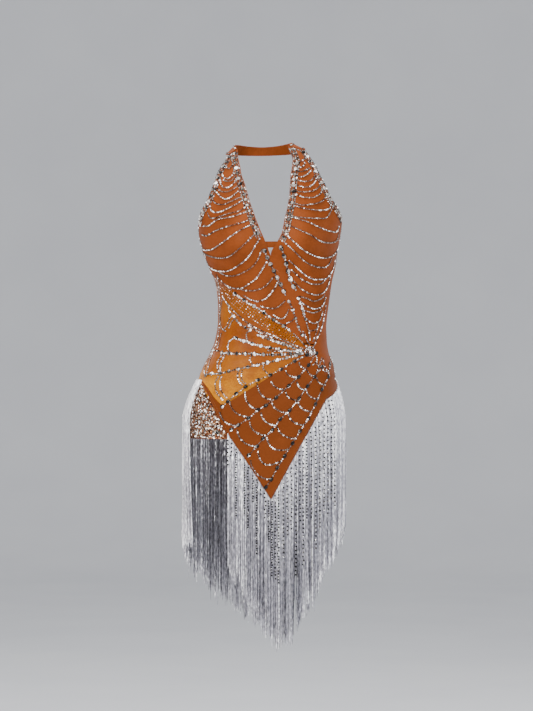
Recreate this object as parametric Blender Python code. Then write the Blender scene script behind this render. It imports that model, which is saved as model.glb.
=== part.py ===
"""Latin dance dress in the pose of a general standing figure, hollow, with nobody in it.

Frame: metres, +Z up, -Y the way the wearer faces, +X the wearer's left.
The origin is the inner face of the neck band at the nape, where the wearer's neck holds the dress up.
Every table below is in millimetres from that origin.
"""

import math
import random

import bmesh
import bpy
from mathutils import Vector

MM = 0.001

# Cloth, in millimetres. Each layer is its inner and outer distance from the figure.
CLOTH_LAYER = (0.0, 1.4)
BRIDGE_LAYER = (-1.9, -0.5)
OVERLAY_LAYER = (2.4, 3.8)
FRINGE_STRIP_LAYER = (2.4, 4.4)
SEAM = 0.45  # half of the gap between two pieces that are sewn edge to edge
CHAIN_RADIUS = 1.9  # a row of set crystals is about 4 mm wide
CHAIN_SEAT = 0.6  # between a chain and the cloth under it
SWAG_HEIGHT = 3.2  # how far a draped chain stands out of the bodice
SWAG_HALF = 0.22  # half of a chain's width, as a share of the way to the next chain
EDGING, EDGING_SHARE = 5.0, 0.1  # how far inside a bodice edge its crystals run, and the most of its width
CHAIN_CORNERS = (0.24, 0.44, 0.63, 0.8)  # where a draped chain has corners, as shares of the panel's width
MIDRIFF_TOP_SEAM = 0.63
SMOOTH_TO = 65  # degrees between two faces, under which they are shaded as one

# The figure: level sections from the neck to the hip. Below the last one cloth hangs straight down.
ROUNDNESS = 0.88  # 1 is an ellipse, less is squarer
FIGURE_COLUMNS = ("z", "centre_x", "half_width", "front_y", "side_y", "back_y")
FIGURE = (
    (10, 12, 80, -76, -50, 0),
    (-25, 13, 101, -106, -60, 12),
    (-50, 14, 120, -120, -66, 20),
    (-80, 14.5, 137, -132, -70, 28),
    (-108, 14.5, 147, -141, -71, 32),
    (-133, 14.5, 150, -147, -69, 35),
    (-161, 14.5, 148, -152, -66, 36),
    (-190, 14, 144.5, -155, -63, 34),
    (-221, 15.3, 137.5, -156, -62, 29),
    (-245, 19, 130.5, -155, -64, 23),
    (-279, 22, 120.5, -153, -67, 15),
    (-317, 22, 115, -152, -70, 9),
    (-364, 19.2, 112, -153, -73, 6),
    (-389, 17.4, 114, -156, -73, 9),
    (-417, 14.5, 119.5, -160, -72, 15),
    (-463, 9.5, 136, -167, -68, 28),
    (-484, 7.5, 142, -170, -66, 35),
    (-524, 5.5, 153, -172, -62, 46),
    (-560, 4.5, 158, -171, -60, 50),
    (-604, 4.2, 161, -167, -58, 46),
)
HIP_Z = FIGURE[-1][0]
CUP_SPACING, CUP_Z, CUP_DEPTH = 67, -198, 37
CUP_WIDTH, CUP_ABOVE, CUP_BELOW = 50, 66, 45
SIDE = 999  # an x past the figure's side, for an edge that lies on a side seam
TURN, RISE = 0.01, 1.0  # how far to each side of a place the figure's slope is measured
AHEAD = 0.1  # of a row, how far to each side of a place a table's direction is measured

# Bodice: one row for each draped chain, from its end on the neckline or front seam to its end on the
# armhole, side seam or lower edge. The first and last rows are the strap and the front point.
BODICE_COLUMNS = ("inner_x", "inner_z", "outer_x", "outer_z", "sag")
BODICE_RIGHT = (
    (-53, -2, -71, -16, 0),
    (-48, -36, -84, -37, 13),
    (-44, -58, -93, -57, 22),
    (-38, -75, -100, -75, 29),
    (-33, -92, -108, -94, 28),
    (-29, -106, -116, -112, 26),
    (-25, -121, -125, -127, 23),
    (-20, -135, -131, -150, 14),
    (-16, -148, -SIDE, -172, 14),
    (-11, -161, -SIDE, -196, 18),
    (-6, -174, -SIDE, -213, 24),
    (0, -187, -SIDE, -229, 38),
    (9, -208, -SIDE, -244, 34),
    (20, -233, -SIDE, -256, 40),
    (27, -250, -84, -279, 24),
    (33, -264, -50, -306, 15),
    (42, -286, -27, -324, 15),
    (56, -320, -3, -341, 9),
    (63, -337, 21, -357, 9),
    (72, -359, 44, -373, 6),
    (82, -383, 66, -389, 3),
    (91, -406, 84, -405, 0),
)
BODICE_LEFT = (
    (52, 4, 86, -4, 0),
    (61, -22, 97, -20, 14),
    (60, -40, 106, -36, 18),
    (57, -58, 113, -51, 16),
    (56, -73, 121, -65, 13),
    (55, -88, 128, -80, 12),
    (54, -102, 135, -94, 12),
    (52, -116, 141, -107, 13),
    (50, -129, 150, -118, 17),
    (46, -145, 158, -133, 20),
    (44, -156, SIDE, -158, 16),
    (42, -167, SIDE, -182, 20),
    (39, -181, SIDE, -208, 25),
    (30, -198, SIDE, -230, 25),
    (16, -224, SIDE, -247, 28),
    (33, -264, 143, -272, 22),
    (42, -286, 138, -292, 22),
    (50, -305, 134, -312, 16),
    (57, -322, 131, -331, 14),
    (65, -342, 126, -352, 12),
    (74, -364, 119, -373, 9),
    (84, -388, 110, -395, 4),
    (92, -407, 104, -408, 0),
)
SAG_LEAN = 1.35  # over 1 the lowest place of a swag lies nearer its outer end

# Pieces that run between two edges: an upper and a lower point for each station along them.
EDGE_COLUMNS = ("top_x", "top_z", "bottom_x", "bottom_z")
SIDE_PANEL_FROM = 14.35  # which row of the left cup the side panel's top point lies at
SIDE_PANEL_FOOT = ((106, -425), (104, -452), (100, -484))  # x and z of its front seam below that cup
WINDOW_MESH = (
    (-SIDE, -256, -SIDE, -283),
    (-84, -279, -92, -302),
    (-50, -306, -72, -318),
    (-27, -324, -46, -343),
    (-3, -341, -18, -363),
    (21, -357, 4, -377),
    (44, -373, 30, -391),
    (66, -389, 56, -404),
    (84, -405, 80, -415),
)
MIDRIFF_MESH = (
    (-SIDE, -283, -SIDE, -484),
    (-92, -302, -126, -484),
    (-72, -318, -103, -530),
    (-59, -331, -79, -583),
    (-46, -343, -66, -552),
    (-18, -363, -35, -528),
    (4, -377, 0, -504),
    (30, -391, 35, -480),
    (56, -404, 62, -459),
    (80, -415, 82, -440),
    (85.2, -407, 88, -441),
    (92, -409, 94, -442),
    (103.2, -411, 102.6, -446),
)
SHORTS_FRONT = (
    (-SIDE, -484, -SIDE, -604),
    (-126, -484, -138, -604),
    (-103, -530, -116, -604),
    (-79, -583, -88, -604),
    (-66, -552, -70, -604),
    (-48, -583, -45, -604),
    (4, -583, 4, -604),
    (53, -575, 53, -604),
    (80, -545, 86, -604),
    (100, -484, 120, -604),
    (SIDE, -484, SIDE, -604),
)

# The hip panel: a row for each line of its crystal net, from the left side seam over the bend under the
# waist to the front edge. The last row is the plain hem on the wearer's left.
BEND_SHARE = 0.27  # how far along a line the bend under the waist lies
HIP_COLUMNS = ("side_z", "bend_x", "bend_z", "front_x", "front_z")
HIP_PANEL = (
    (-436, 98, -423, -84, -537),
    (-451, 100, -450, -72, -588),
    (-465, 108, -478, -36, -645),
    (-479, 119, -503, 2, -704),
    (-492, 128, -521, 16.6, -727),
)

# The net of crystal chains on the hip panel: lines that spread from the waist, and scallops from one line to
# the next, from x and z on the upper line to x and z on the lower line. dip is how far a scallop hangs below
# a quarter circle.
NET_POINT_COLUMNS = ("x", "z")
NET_LINES = (
    (
        (-82, -536), (-71, -526), (-54, -510), (-35, -496), (-10, -482), (15, -472), (37, -460),
        (64, -444), (79, -436),
    ),
    (
        (-64, -583), (-50, -574), (-29, -560), (-10, -543), (6, -534), (27, -518), (52, -494),
        (72, -476), (92, -452), (100, -443),
    ),
    (
        (-29, -636), (-12, -618), (0, -602), (19, -584), (35, -562), (54, -544), (73, -520),
        (90, -495), (104, -476), (119, -456),
    ),
    (
        (6, -702), (17, -686), (29, -662), (44, -638), (60, -612), (75, -587), (92, -561), (106, -532),
        (119, -502), (132, -476), (135, -451),
    ),
)
SCALLOP_COLUMNS = ("start_x", "start_z", "end_x", "end_z", "dip")
SCALLOPS = (
    (
        (-87, -547, -54, -575, 0), (-67, -524, -31, -557, 0), (-37, -505, -11, -541, 0),
        (-12, -487, 17, -522, 0), (17, -483, 46, -502, 0),
    ),
    (
        (-52, -582, -15, -618, 0), (-27, -566, 6, -595, 0), (-4, -547, 29, -575, 0),
        (19, -528, 52, -549, 0), (46, -505, 72, -524, 0), (69, -485, 89, -503, 0),
    ),
    (
        (-25, -645, 15, -686, 0), (-10, -626, 37, -648, 13), (8, -597, 52, -624, 6),
        (29, -576, 69, -602, 0), (52, -551, 83, -574, 0), (71, -526, 100, -547, 0),
        (89, -505, 114, -522, 0), (108, -476, 127, -493, 0),
    ),
)
SCALLOP_START = 6.5  # a scallop starts this far under the line it hangs from
SCALLOP_STEPS = 4

# Rays of crystals from the waist point to the side, each from the side inwards.
RAY_COLUMNS = ("x", "z")
RAYS = (
    ((-80, -320), (-60, -340), (-34, -360), (-4, -380), (26, -396), (54, -407)),
    ((-60, -391), (-34, -404), (-8, -410), (18, -414), (44, -416), (60, -417)),
    ((-64, -427), (-30, -427), (4, -428), (38, -427), (62, -425)),
    ((-112, -470), (-77, -467), (-42, -458), (-8, -452), (24, -445), (58, -437), (72, -433)),
)
WAIST_POINT = (95, -424)
CLUSTER_RADIUS = 10
CLUSTER_LIFT = 2.2  # over the overlay's height, clear of every panel's point

# Back: one plain panel with a scooped top edge, level at the shorts.
BACK_TOP_SIDE, BACK_TOP_CENTRE, BACK_HEM = -158, -345, -484
SCOOP_ROUNDNESS = 1.4
BRIDGE_SPAN, BRIDGE_TOP, BRIDGE_HEIGHT = (-4, 42), -197, 13

# Neck band: its upper and lower edge, from the right strap round the nape to the left strap.
BAND_COLUMNS = ("upper_x", "upper_y", "upper_z", "lower_x", "lower_y", "lower_z")
NECK_BAND = (
    (-53, -76.6, 0.4, -71.5, -78, -13.6),
    (-56, -63, 5, -75, -62, -12),
    (-58, -46, 9, -77, -44, -10),
    (-50, -22, 11, -66, -14, -9),
    (-29, -6, 10, -34, 0, -9),
    (0, -2, 9, 0, 2, -9),
    (30, -6, 11, 36, 0, -8),
    (52, -20, 14, 70, -12, -6),
    (60, -42, 14, 86, -40, -2),
    (57, -62, 10, 88, -60, 0),
    (52, -77.3, 5.8, 86.5, -74.2, -2),
)

# Gusset: the strip between the legs, from the front hem under the body to the back hem.
GUSSET_COLUMNS = ("y", "z", "half_width")
GUSSET = (
    (-165.3, -604.4, 40),
    (-151, -623, 36),
    (-118, -641, 30),
    (-70, -648, 28),
    (-20, -642, 33),
    (24, -625, 40),
    (43.5, -604.4, 46),
)

# Fringe: one strand to each lock, on strips along the hip panel's hem and round the back.
STRAND_PITCH, STRAND_WIDTH = 4.9, 3.6
STRAND_TIP = 0.55  # width at the tip, as a share of the width at the root
STRIP_HEIGHT, STRIP_GAP = 9.0, 1.3
FULLEST_Z = -560  # fringe hangs straight down from here, the fullest part of the hips
STRAND_OUT_LEFT, STRAND_OUT_RIGHT, STRAND_THICKNESS = 8.5, 13.0, 1.8
STRAND_RAGGED = 9.0  # how unevenly the strands end
FRINGE_SEED = 11
LAP = 2  # how far the back strip laps over the cloth's hem
BEND_UNDER = 30  # a strand bends this far under its strip at least
FRONT_TURN = 0.8  # the angle round from the front over which the strands come to stand out fully
LEVEL_FROM = 1.04  # quarter turns past the back's middle, from where the fringe ends level
ARC_STEP = 0.002  # of an angle, while the strands are spaced out
HALVINGS = 24  # while the place of a strand on the cloth's edge is found
FRONT_HEM_COLUMNS = ("x", "z")
FRONT_HEM = (
    (-72, -868), (-40, -925), (0, -1000), (30, -1045), (60, -1015), (100, -935), (140, -855), (SIDE, -778),
)
BACK_HEM_SIDE_LEFT, BACK_HEM_CENTRE, BACK_HEM_SIDE_RIGHT = -778, -1018, -834
FRINGE_END_RIGHT = -67  # degrees round from the front, where the slit over the right thigh begins

SKIN_CLOTH = ((0.42, 0.13, 0.05, 1), 0.7, 0.0)
SHEER_MESH = ((0.56, 0.25, 0.09, 1), 0.6, 0.0)
SEQUINS = ((0.62, 0.48, 0.38, 1), 0.25, 0.8)
SILVER_FRINGE = ((0.62, 0.64, 0.68, 1), 0.45, 0.3)
CRYSTAL = ((0.86, 0.86, 0.88, 1), 0.1, 0.9)


def between(low, high, share):
    return low + (high - low) * share


def smooth_between(table, at):
    """A row between the table's rows, on a curve through them, where at counts rows from 0."""
    last = len(table) - 1
    i = min(int(at), last - 1)
    t = at - i
    before, start, end, after = (table[min(max(k, 0), last)] for k in (i - 1, i, i + 1, i + 2))
    row = []
    for p0, p1, p2, p3 in zip(before, start, end, after):
        bend = (2 * p0 - 5 * p1 + 4 * p2 - p3) * t * t + (3 * p1 - p0 - 3 * p2 + p3) * t * t * t
        row.append(0.5 * (2 * p1 + (p2 - p0) * t + bend))
    return row


def section(z):
    """The figure's section at a height: centre_x, half_width, front_y, side_y and back_y."""
    z = min(max(z, FIGURE[-1][0]), FIGURE[0][0])
    i = next(k for k in range(len(FIGURE) - 1) if z >= FIGURE[k + 1][0])
    share = (FIGURE[i][0] - z) / (FIGURE[i][0] - FIGURE[i + 1][0])
    return smooth_between(FIGURE, i + share)[1:]


def angle_at(x, z):
    """How far round the figure's front a point of this x lies, from -90 to 90 degrees, in radians."""
    centre_x, half_width, *_ = section(z)
    share = max(-1.0, min(1.0, (x - centre_x) / half_width))
    return math.copysign(math.asin(abs(share) ** (1 / ROUNDNESS)), share)


def cup(x, z):
    """How far the two cups stand out of the figure's front."""
    centre_x = section(z)[0]
    height = CUP_ABOVE if z > CUP_Z else CUP_BELOW
    fall = math.exp(-(((z - CUP_Z) / height) ** 2))
    return CUP_DEPTH * fall * sum(
        math.exp(-(((x - centre_x - side * CUP_SPACING) / CUP_WIDTH) ** 2)) for side in (-1, 1)
    )


def skin(angle, z):
    """A point on the figure, in millimetres. Angle 0 is the front, and it grows towards the wearer's left."""
    centre_x, half_width, front_y, side_y, back_y = section(z)
    sine, cosine = math.sin(angle), math.cos(angle)
    x = centre_x + half_width * math.copysign(abs(sine) ** ROUNDNESS, sine)
    depth = (front_y if cosine > 0 else back_y) - side_y
    y = side_y + depth * abs(cosine) ** ROUNDNESS
    if cosine > 0:
        y -= cup(x, z) * cosine
    return Vector((x, y, z))


def on_figure(angle, z, out):
    """A point that far outside the figure, in metres."""
    around = skin(angle + TURN, z) - skin(angle - TURN, z)
    up = skin(angle, z + RISE) - skin(angle, z - RISE)
    if z < HIP_Z + RISE:
        up = Vector((0, 0, 1))
    return (skin(angle, z) + around.cross(up).normalized() * out) * MM


def material(name, look):
    colour, roughness, metallic = look
    made = bpy.data.materials.new(name)
    made.use_nodes = True
    shader = made.node_tree.nodes["Principled BSDF"]
    shader.inputs["Base Color"].default_value = colour
    shader.inputs["Roughness"].default_value = roughness
    shader.inputs["Metallic"].default_value = metallic
    return made


def add_object(name, data, look):
    data.materials.append(material(name, look))
    made = bpy.data.objects.new(name, data)
    bpy.data.collections["latin_dance_dress"].objects.link(made)
    return made


def thicken(bm):
    """Turns a flat sheet of cells into a slab: a corner's z is then 0 on its inside and 1 on its outside."""
    grown = bmesh.ops.extrude_face_region(bm, geom=bm.faces[:], use_keep_orig=True)
    corners = [part for part in grown["geom"] if isinstance(part, bmesh.types.BMVert)]
    bmesh.ops.translate(bm, verts=corners, vec=(0, 0, 1))


def finish_wall(bm, name, look):
    bmesh.ops.recalc_face_normals(bm, faces=bm.faces[:])
    if bm.calc_volume(signed=True) < 0:
        bmesh.ops.reverse_faces(bm, faces=bm.faces[:])
    mesh = bpy.data.meshes.new(name)
    bm.to_mesh(mesh)
    bm.free()
    mesh.shade_smooth()
    mesh.set_sharp_from_angle(angle=math.radians(SMOOTH_TO))
    return add_object(name, mesh, look)


def wall(name, look, columns, rows, place):
    """A wall of cloth. place(column, row, outside) gives each corner, outside being 0 or 1."""
    bm = bmesh.new()
    bmesh.ops.create_grid(bm, x_segments=columns, y_segments=rows, size=0.5)
    thicken(bm)
    for corner in bm.verts:
        u, v, outside = corner.co
        corner.co = place(round((u + 0.5) * columns), round((v + 0.5) * rows), outside)
    return finish_wall(bm, name, look)


def bodice_ends(table, side, at):
    """Both ends of a bodice row, each as its angle and height, with at counting rows from 0."""
    i = min(int(at), len(table) - 2)
    ends = []
    for x_column, z_column, turn in ((0, 1, side), (2, 3, -side)):
        angles = [angle_at(table[k][x_column], table[k][z_column]) for k in (i, i + 1)]
        z = between(table[i][z_column], table[i + 1][z_column], at - i)
        ends.append((between(*angles, at - i) + turn * SEAM / section(z)[1], z))
    return ends, between(table[i][4], table[i + 1][4], at - i)


def bodice(name, table, side, look):
    """A halter cup panel. Its draped chains are ridges across it, and its edging is a ridge by each edge."""
    rows = [(0.0, 0.0)]
    for chain in range(1, len(table) - 1):
        rows += [(chain - SWAG_HALF, 0.0), (chain, 1.0), (chain + SWAG_HALF, 0.0)]
    rows.append((len(table) - 1.0, 0.0))

    def place(column, row, outside):
        at, chain = rows[row]
        ((inner_angle, inner_z), (outer_angle, outer_z)), sag = bodice_ends(table, side, at)
        width = (skin(inner_angle, inner_z) - skin(outer_angle, outer_z)).length
        edge = min(EDGING / width, EDGING_SHARE)
        shares = (0, edge, 2 * edge, *CHAIN_CORNERS, 1 - 2 * edge, 1 - edge, 1)
        share = shares[column]
        edging = column in (1, len(shares) - 2)
        angle = between(inner_angle, outer_angle, share)
        z = between(inner_z, outer_z, share) - sag * math.sin(math.pi * share**SAG_LEAN)
        inside, outer = CLOTH_LAYER
        ridge = SWAG_HEIGHT * max(edging, chain if 2 < column < len(shares) - 3 else 0)
        return on_figure(angle, z, inside + outside * (outer - inside + ridge))

    return wall(name, look, len(CHAIN_CORNERS) + 5, len(rows) - 1, place)


def panel(name, table, look, steps, rows, seams):
    """A piece between a top and a bottom edge. seams are its gaps left, right, top and bottom, and steps
    says where it has a column of corners between one row of its table and the next."""
    left_gap, right_gap, top_gap, bottom_gap = seams
    stations = [k + step for k in range(len(table) - 1) for step in steps] + [len(table) - 1]

    def place(column, row, outside):
        at = stations[column]
        i = min(int(at), len(table) - 2)
        ends = []
        for x_column, z_column, gap in ((0, 1, -top_gap), (2, 3, bottom_gap)):
            angles = [angle_at(table[k][x_column], table[k][z_column]) for k in (i, i + 1)]
            z = between(table[i][z_column], table[i + 1][z_column], at - i) + gap
            ends.append((between(*angles, at - i), z))
        (top_angle, top_z), (bottom_angle, bottom_z) = ends
        share = row / rows
        angle, z = between(top_angle, bottom_angle, share), between(top_z, bottom_z, share)
        if column == 0:
            angle += left_gap / section(z)[1]
        if at == len(table) - 1:
            angle -= right_gap / section(z)[1]
        return on_figure(angle, z, between(*CLOTH_LAYER, outside))

    return wall(name, look, len(stations) - 1, rows, place)


def side_panel(name, look):
    """The plain panel under the left arm, with the left cup on its front seam and the back on its other."""
    rows = [SIDE_PANEL_FROM, *range(math.ceil(SIDE_PANEL_FROM), len(BODICE_LEFT))]
    seam = [bodice_ends(BODICE_LEFT, 1, at)[0][1] for at in rows]
    seam += [(angle_at(x, z), z) for x, z in SIDE_PANEL_FOOT]
    columns = 3

    def place(column, row, outside):
        front, z = seam[row]
        gap = SEAM / section(z)[1]
        z += SEAM if z <= BACK_HEM else 0
        angle = between(front + 2 * gap, math.pi / 2 - gap, column / columns)
        return on_figure(angle, z, between(*CLOTH_LAYER, outside))

    return wall(name, look, columns, len(seam) - 1, place)


def back_panel(name, look):
    """The plain back, with its scooped top edge."""
    columns, rows = 16, 9
    gap = SEAM / section(BACK_HEM)[1]

    def place(column, row, outside):
        share = column / columns
        angle = between(math.pi / 2 + gap, 1.5 * math.pi - gap, share)
        scoop = math.sin(math.pi * share) ** SCOOP_ROUNDNESS
        top = between(BACK_TOP_SIDE, BACK_TOP_CENTRE, scoop)
        z = between(top, BACK_HEM + SEAM, row / rows)
        return on_figure(angle, z, between(*CLOTH_LAYER, outside))

    return wall(name, look, columns, rows, place)


def shorts_back(name, look):
    """The back of the shorts, from the back panel's hem down."""
    columns, rows = 16, 4
    gap = SEAM / section(BACK_HEM)[1]

    def place(column, row, outside):
        angle = between(math.pi / 2 + gap, 1.5 * math.pi - gap, column / columns)
        z = between(BACK_HEM - SEAM, HIP_Z, row / rows)
        return on_figure(angle, z, between(*CLOTH_LAYER, outside))

    return wall(name, look, columns, rows, place)


def gusset(name, look):
    """The U of cloth under the body. Its ends stop just under the hems of the shorts."""
    columns, rows = 4, 2 * (len(GUSSET) - 1)

    def place(column, row, outside):
        y, z, half_width = smooth_between(GUSSET, row / 2)
        last = len(GUSSET) - 1
        nearby = (min(max(row / 2 + step, 0), last) for step in (AHEAD, -AHEAD))
        ahead, behind = (smooth_between(GUSSET, at) for at in nearby)
        along = Vector((0, ahead[0] - behind[0], ahead[1] - behind[1])).normalized()
        out = Vector((0, along.z, -along.y)) * between(*CLOTH_LAYER, outside)
        x = FIGURE[-1][1] + half_width * (column / 2 - 1)
        return (Vector((x, y, z)) + out) * MM

    return wall(name, look, columns, rows, place)


def neck_band(name, look):
    columns, rows = 3 * (len(NECK_BAND) - 1), 2

    def edges(at):
        row = smooth_between(NECK_BAND, min(max(at, 0), len(NECK_BAND) - 1))
        return Vector(row[:3]), Vector(row[3:])

    def place(column, row, outside):
        upper, lower = edges(column / 3)
        ahead, behind = edges(column / 3 + AHEAD), edges(column / 3 - AHEAD)
        along = (ahead[0] + ahead[1] - behind[0] - behind[1]).normalized()
        out = (upper - lower).cross(along).normalized() * between(*CLOTH_LAYER, outside)
        return (upper.lerp(lower, row / rows) + out) * MM

    return wall(name, look, columns, rows, place)


def bust_bridge(name, look):
    """The strap that joins the two cups at the bust."""
    columns, rows = 6, 2

    def place(column, row, outside):
        z = BRIDGE_TOP - BRIDGE_HEIGHT * row / rows
        x = between(*BRIDGE_SPAN, column / columns)
        return on_figure(angle_at(x, z), z, between(*BRIDGE_LAYER, outside))

    return wall(name, look, columns, rows, place)


def hip_point(line, share):
    """Where a share of the way along a line of the hip panel's net lies: its angle and height."""
    side_z, bend_x, bend_z, front_x, front_z = smooth_between(HIP_PANEL, line)
    side_angle = math.pi / 2 - SEAM / section(side_z)[1]
    bend_angle, front_angle = angle_at(bend_x, bend_z), angle_at(front_x, front_z)
    if share < BEND_SHARE:
        part = share / BEND_SHARE
        return between(side_angle, bend_angle, part), between(side_z, bend_z, part)
    part = (share - BEND_SHARE) / (1 - BEND_SHARE)
    x = between(bend_x, front_x, part)
    z = between(bend_z, front_z, part)
    return angle_at(x, z), z


def hip_panel(name, look):
    columns, per_line = 15, 3

    def place(column, row, outside):
        angle, z = hip_point(row / per_line, column / columns)
        return on_figure(angle, z, between(*OVERLAY_LAYER, outside))

    return wall(name, look, columns, per_line * (len(HIP_PANEL) - 1), place)


def tubes(name, paths):
    """A mesh of closed tubes, one along each path of points in metres."""
    curve = bpy.data.curves.new(name, "CURVE")
    curve.dimensions = "3D"
    curve.bevel_depth = CHAIN_RADIUS * MM
    curve.bevel_resolution = 0
    curve.use_fill_caps = True
    for path in paths:
        spline = curve.splines.new("POLY")
        spline.points.add(len(path) - 1)
        for knot, point in zip(spline.points, path):
            knot.co = (*point, 1)
    guide = bpy.data.objects.new(name + "_guide", curve)
    bpy.data.collections["helpers"].objects.link(guide)
    evaluated = guide.evaluated_get(bpy.context.evaluated_depsgraph_get())
    mesh = bpy.data.meshes.new_from_object(evaluated)
    bpy.data.objects.remove(guide)
    bm = bmesh.new()
    bm.from_mesh(mesh)
    bmesh.ops.remove_doubles(bm, verts=bm.verts[:], dist=1e-6)
    bmesh.ops.recalc_face_normals(bm, faces=bm.faces[:])
    bm.to_mesh(mesh)
    bm.free()
    return mesh


def chain(name, paths, look):
    """Rows of set crystals as plain tubes. The first path is the chain, and the others are joined on."""
    made = add_object(name, tubes(name, paths[:1]), look)
    if len(paths) > 1:
        joined = bpy.data.objects.new(name + "_joined", tubes(name + "_joined", paths[1:]))
        joined.hide_render = True
        joined.display_type = "WIRE"
        bpy.data.collections["helpers"].objects.link(joined)
        union = made.modifiers.new("scallops", "BOOLEAN")
        union.operation = "UNION"
        union.solver = "EXACT"
        union.object = joined
    return made


def on_cloth(x, z, cloth):
    """Where the middle of a chain lies over cloth whose outer side is that far from the figure."""
    return on_figure(angle_at(x, z), z, cloth + CHAIN_SEAT + CHAIN_RADIUS)


def ray(name, table, look):
    steps = 2 * (len(table) - 1)
    route = [*(smooth_between(table, step / 2) for step in range(steps)), table[-1]]
    return chain(name, [[on_cloth(x, z, CLOTH_LAYER[1]) for x, z in route]], look)


def scallop(row, line):
    """Points of a scallop: straight down at first, then level, to the line's place nearest to its end."""
    x, z, end_x, end_z, dip = row
    end_x, end_z = min(line, key=lambda point: math.dist(point, (end_x, end_z)))
    first = math.asin(SCALLOP_START / (z - end_z))
    for step in range(SCALLOP_STEPS + 1):
        turn = between(first, math.pi / 2, step / SCALLOP_STEPS)
        fall = dip * math.sin(2 * turn)
        yield between(end_x, x, math.cos(turn)), between(z, end_z, math.sin(turn)) - fall


def net_chain(name, number, look):
    """One line of the hip panel's net, with the scallops that end on it."""
    table = NET_LINES[number]
    line = [smooth_between(table, step / 2) for step in range(2 * len(table) - 1)]
    paths = [line]
    if number:
        paths += [scallop(row, line) for row in SCALLOPS[number - 1]]
    return chain(name, [[on_cloth(x, z, OVERLAY_LAYER[1]) for x, z in path] for path in paths], look)


def waist_cluster(name, look):
    """The round cluster of crystals where all the rays meet, over the points of the panels."""
    cells = 6

    def place(column, row, outside):
        across, up = 2 * column / cells - 1, 2 * row / cells - 1
        x = WAIST_POINT[0] + CLUSTER_RADIUS * across * math.sqrt(1 - up * up / 2)
        z = WAIST_POINT[1] + CLUSTER_RADIUS * up * math.sqrt(1 - across * across / 2)
        return on_figure(angle_at(x, z), z, between(*OVERLAY_LAYER, outside) + CLUSTER_LIFT)

    return wall(name, look, cells, cells, place)


def hip_arc():
    """Angles round the hip ring, one strand pitch apart, from the front by the wearer's left to the slit."""
    start = angle_at(FRONT_HEM[0][0], HIP_Z)
    end = 2 * math.pi + math.radians(FRINGE_END_RIGHT)
    angles, walked = [start], 0.0
    angle = start
    here = skin(angle, HIP_Z)
    while angle < end:
        angle += ARC_STEP
        there = skin(angle, HIP_Z)
        walked += (there - here).length
        here = there
        if walked >= STRAND_PITCH:
            angles.append(angle)
            walked -= STRAND_PITCH
    return angles


def hem_edge(angle, strand_angle):
    """The height of the cloth edge at an angle, for a strand that hangs round that angle."""
    if strand_angle >= math.pi / 2:
        return BACK_HEM + LAP
    last = len(HIP_PANEL) - 1
    front = strand_angle < hip_point(last, 1)[0]
    low, high = (1.0, last) if front else (1.0, 0.0)
    for _ in range(HALVINGS):
        middle = (low + high) / 2
        found = hip_point(middle, 1) if front else hip_point(last, middle)
        low, high = (middle, high) if found[0] < angle else (low, middle)
    return (hip_point(low, 1) if front else hip_point(last, low))[1]


def strand_end(angle):
    """The height of the fringe's lowest edge, which is pointed at the front and at the back."""
    if angle < math.pi / 2:
        x = skin(angle, HIP_Z).x
        for (x1, z1), (x2, z2) in zip(FRONT_HEM, FRONT_HEM[1:]):
            if x <= x2:
                x2 = min(x2, skin(math.pi / 2, HIP_Z).x)
                return between(z1, z2, (x - x1) / (x2 - x1))
    if angle < math.pi:
        return between(BACK_HEM_SIDE_LEFT, BACK_HEM_CENTRE, angle / (math.pi / 2) - 1)
    return between(BACK_HEM_CENTRE, BACK_HEM_SIDE_RIGHT, min(angle / (math.pi / 2) - 2, LEVEL_FROM))


def fringe(name, angles, look, ragged):
    """A strip along the cloth's edge with its strands, made flat as a comb and then hung on the figure."""
    count = len(angles)
    bm = bmesh.new()
    bmesh.ops.create_grid(bm, x_segments=2 * count - 1, y_segments=1, size=0.5)
    for corner in bm.verts:
        corner.co.x = round((corner.co.x + 0.5) * (2 * count - 1))
        corner.co.y = round(corner.co.y - 0.5)
    for drop in (-2, -3):
        roots = [
            edge
            for edge in bm.edges
            if all(round(v.co.y) == drop + 1 for v in edge.verts)
            and (drop == -3 or min(round(v.co.x) for v in edge.verts) % 2 == 0)
        ]
        grown = bmesh.ops.extrude_edge_only(bm, edges=roots)
        corners = [part for part in grown["geom"] if isinstance(part, bmesh.types.BMVert)]
        bmesh.ops.translate(bm, verts=corners, vec=(0, -1, 0))
    thicken(bm)
    ends = [strand_end(angle) + ragged.uniform(-0.5, 0.5) * STRAND_RAGGED for angle in angles]
    for corner in bm.verts:
        step, level, outside = round(corner.co.x), round(corner.co.y), corner.co.z
        strand = step // 2
        middle = angles[strand]
        half = 0.5 * STRAND_WIDTH * (STRAND_TIP if level == -3 else 1)
        bend = min(FULLEST_Z, hem_edge(middle, middle) - STRIP_HEIGHT - BEND_UNDER)
        round_it = (skin(middle + TURN, bend) - skin(middle - TURN, bend)).length / (2 * TURN)
        angle = middle + half * (1 if step % 2 else -1) / round_it
        top = hem_edge(angle, middle) - STRIP_GAP
        at_z = (top, top - STRIP_HEIGHT, bend, bend)[-level]
        inside, outer = FRINGE_STRIP_LAYER
        if level < -1:
            hang = between(STRAND_OUT_LEFT, STRAND_OUT_RIGHT, max(0, middle / math.pi - 0.5))
            inside = between(inside, hang, min(1, max(0, middle / FRONT_TURN)))
            outer = inside + STRAND_THICKNESS
        corner.co = on_figure(angle, at_z, between(inside, outer, outside))
        if level == -3:
            corner.co.z = ends[strand] * MM
    return finish_wall(bm, name, look)


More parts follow.
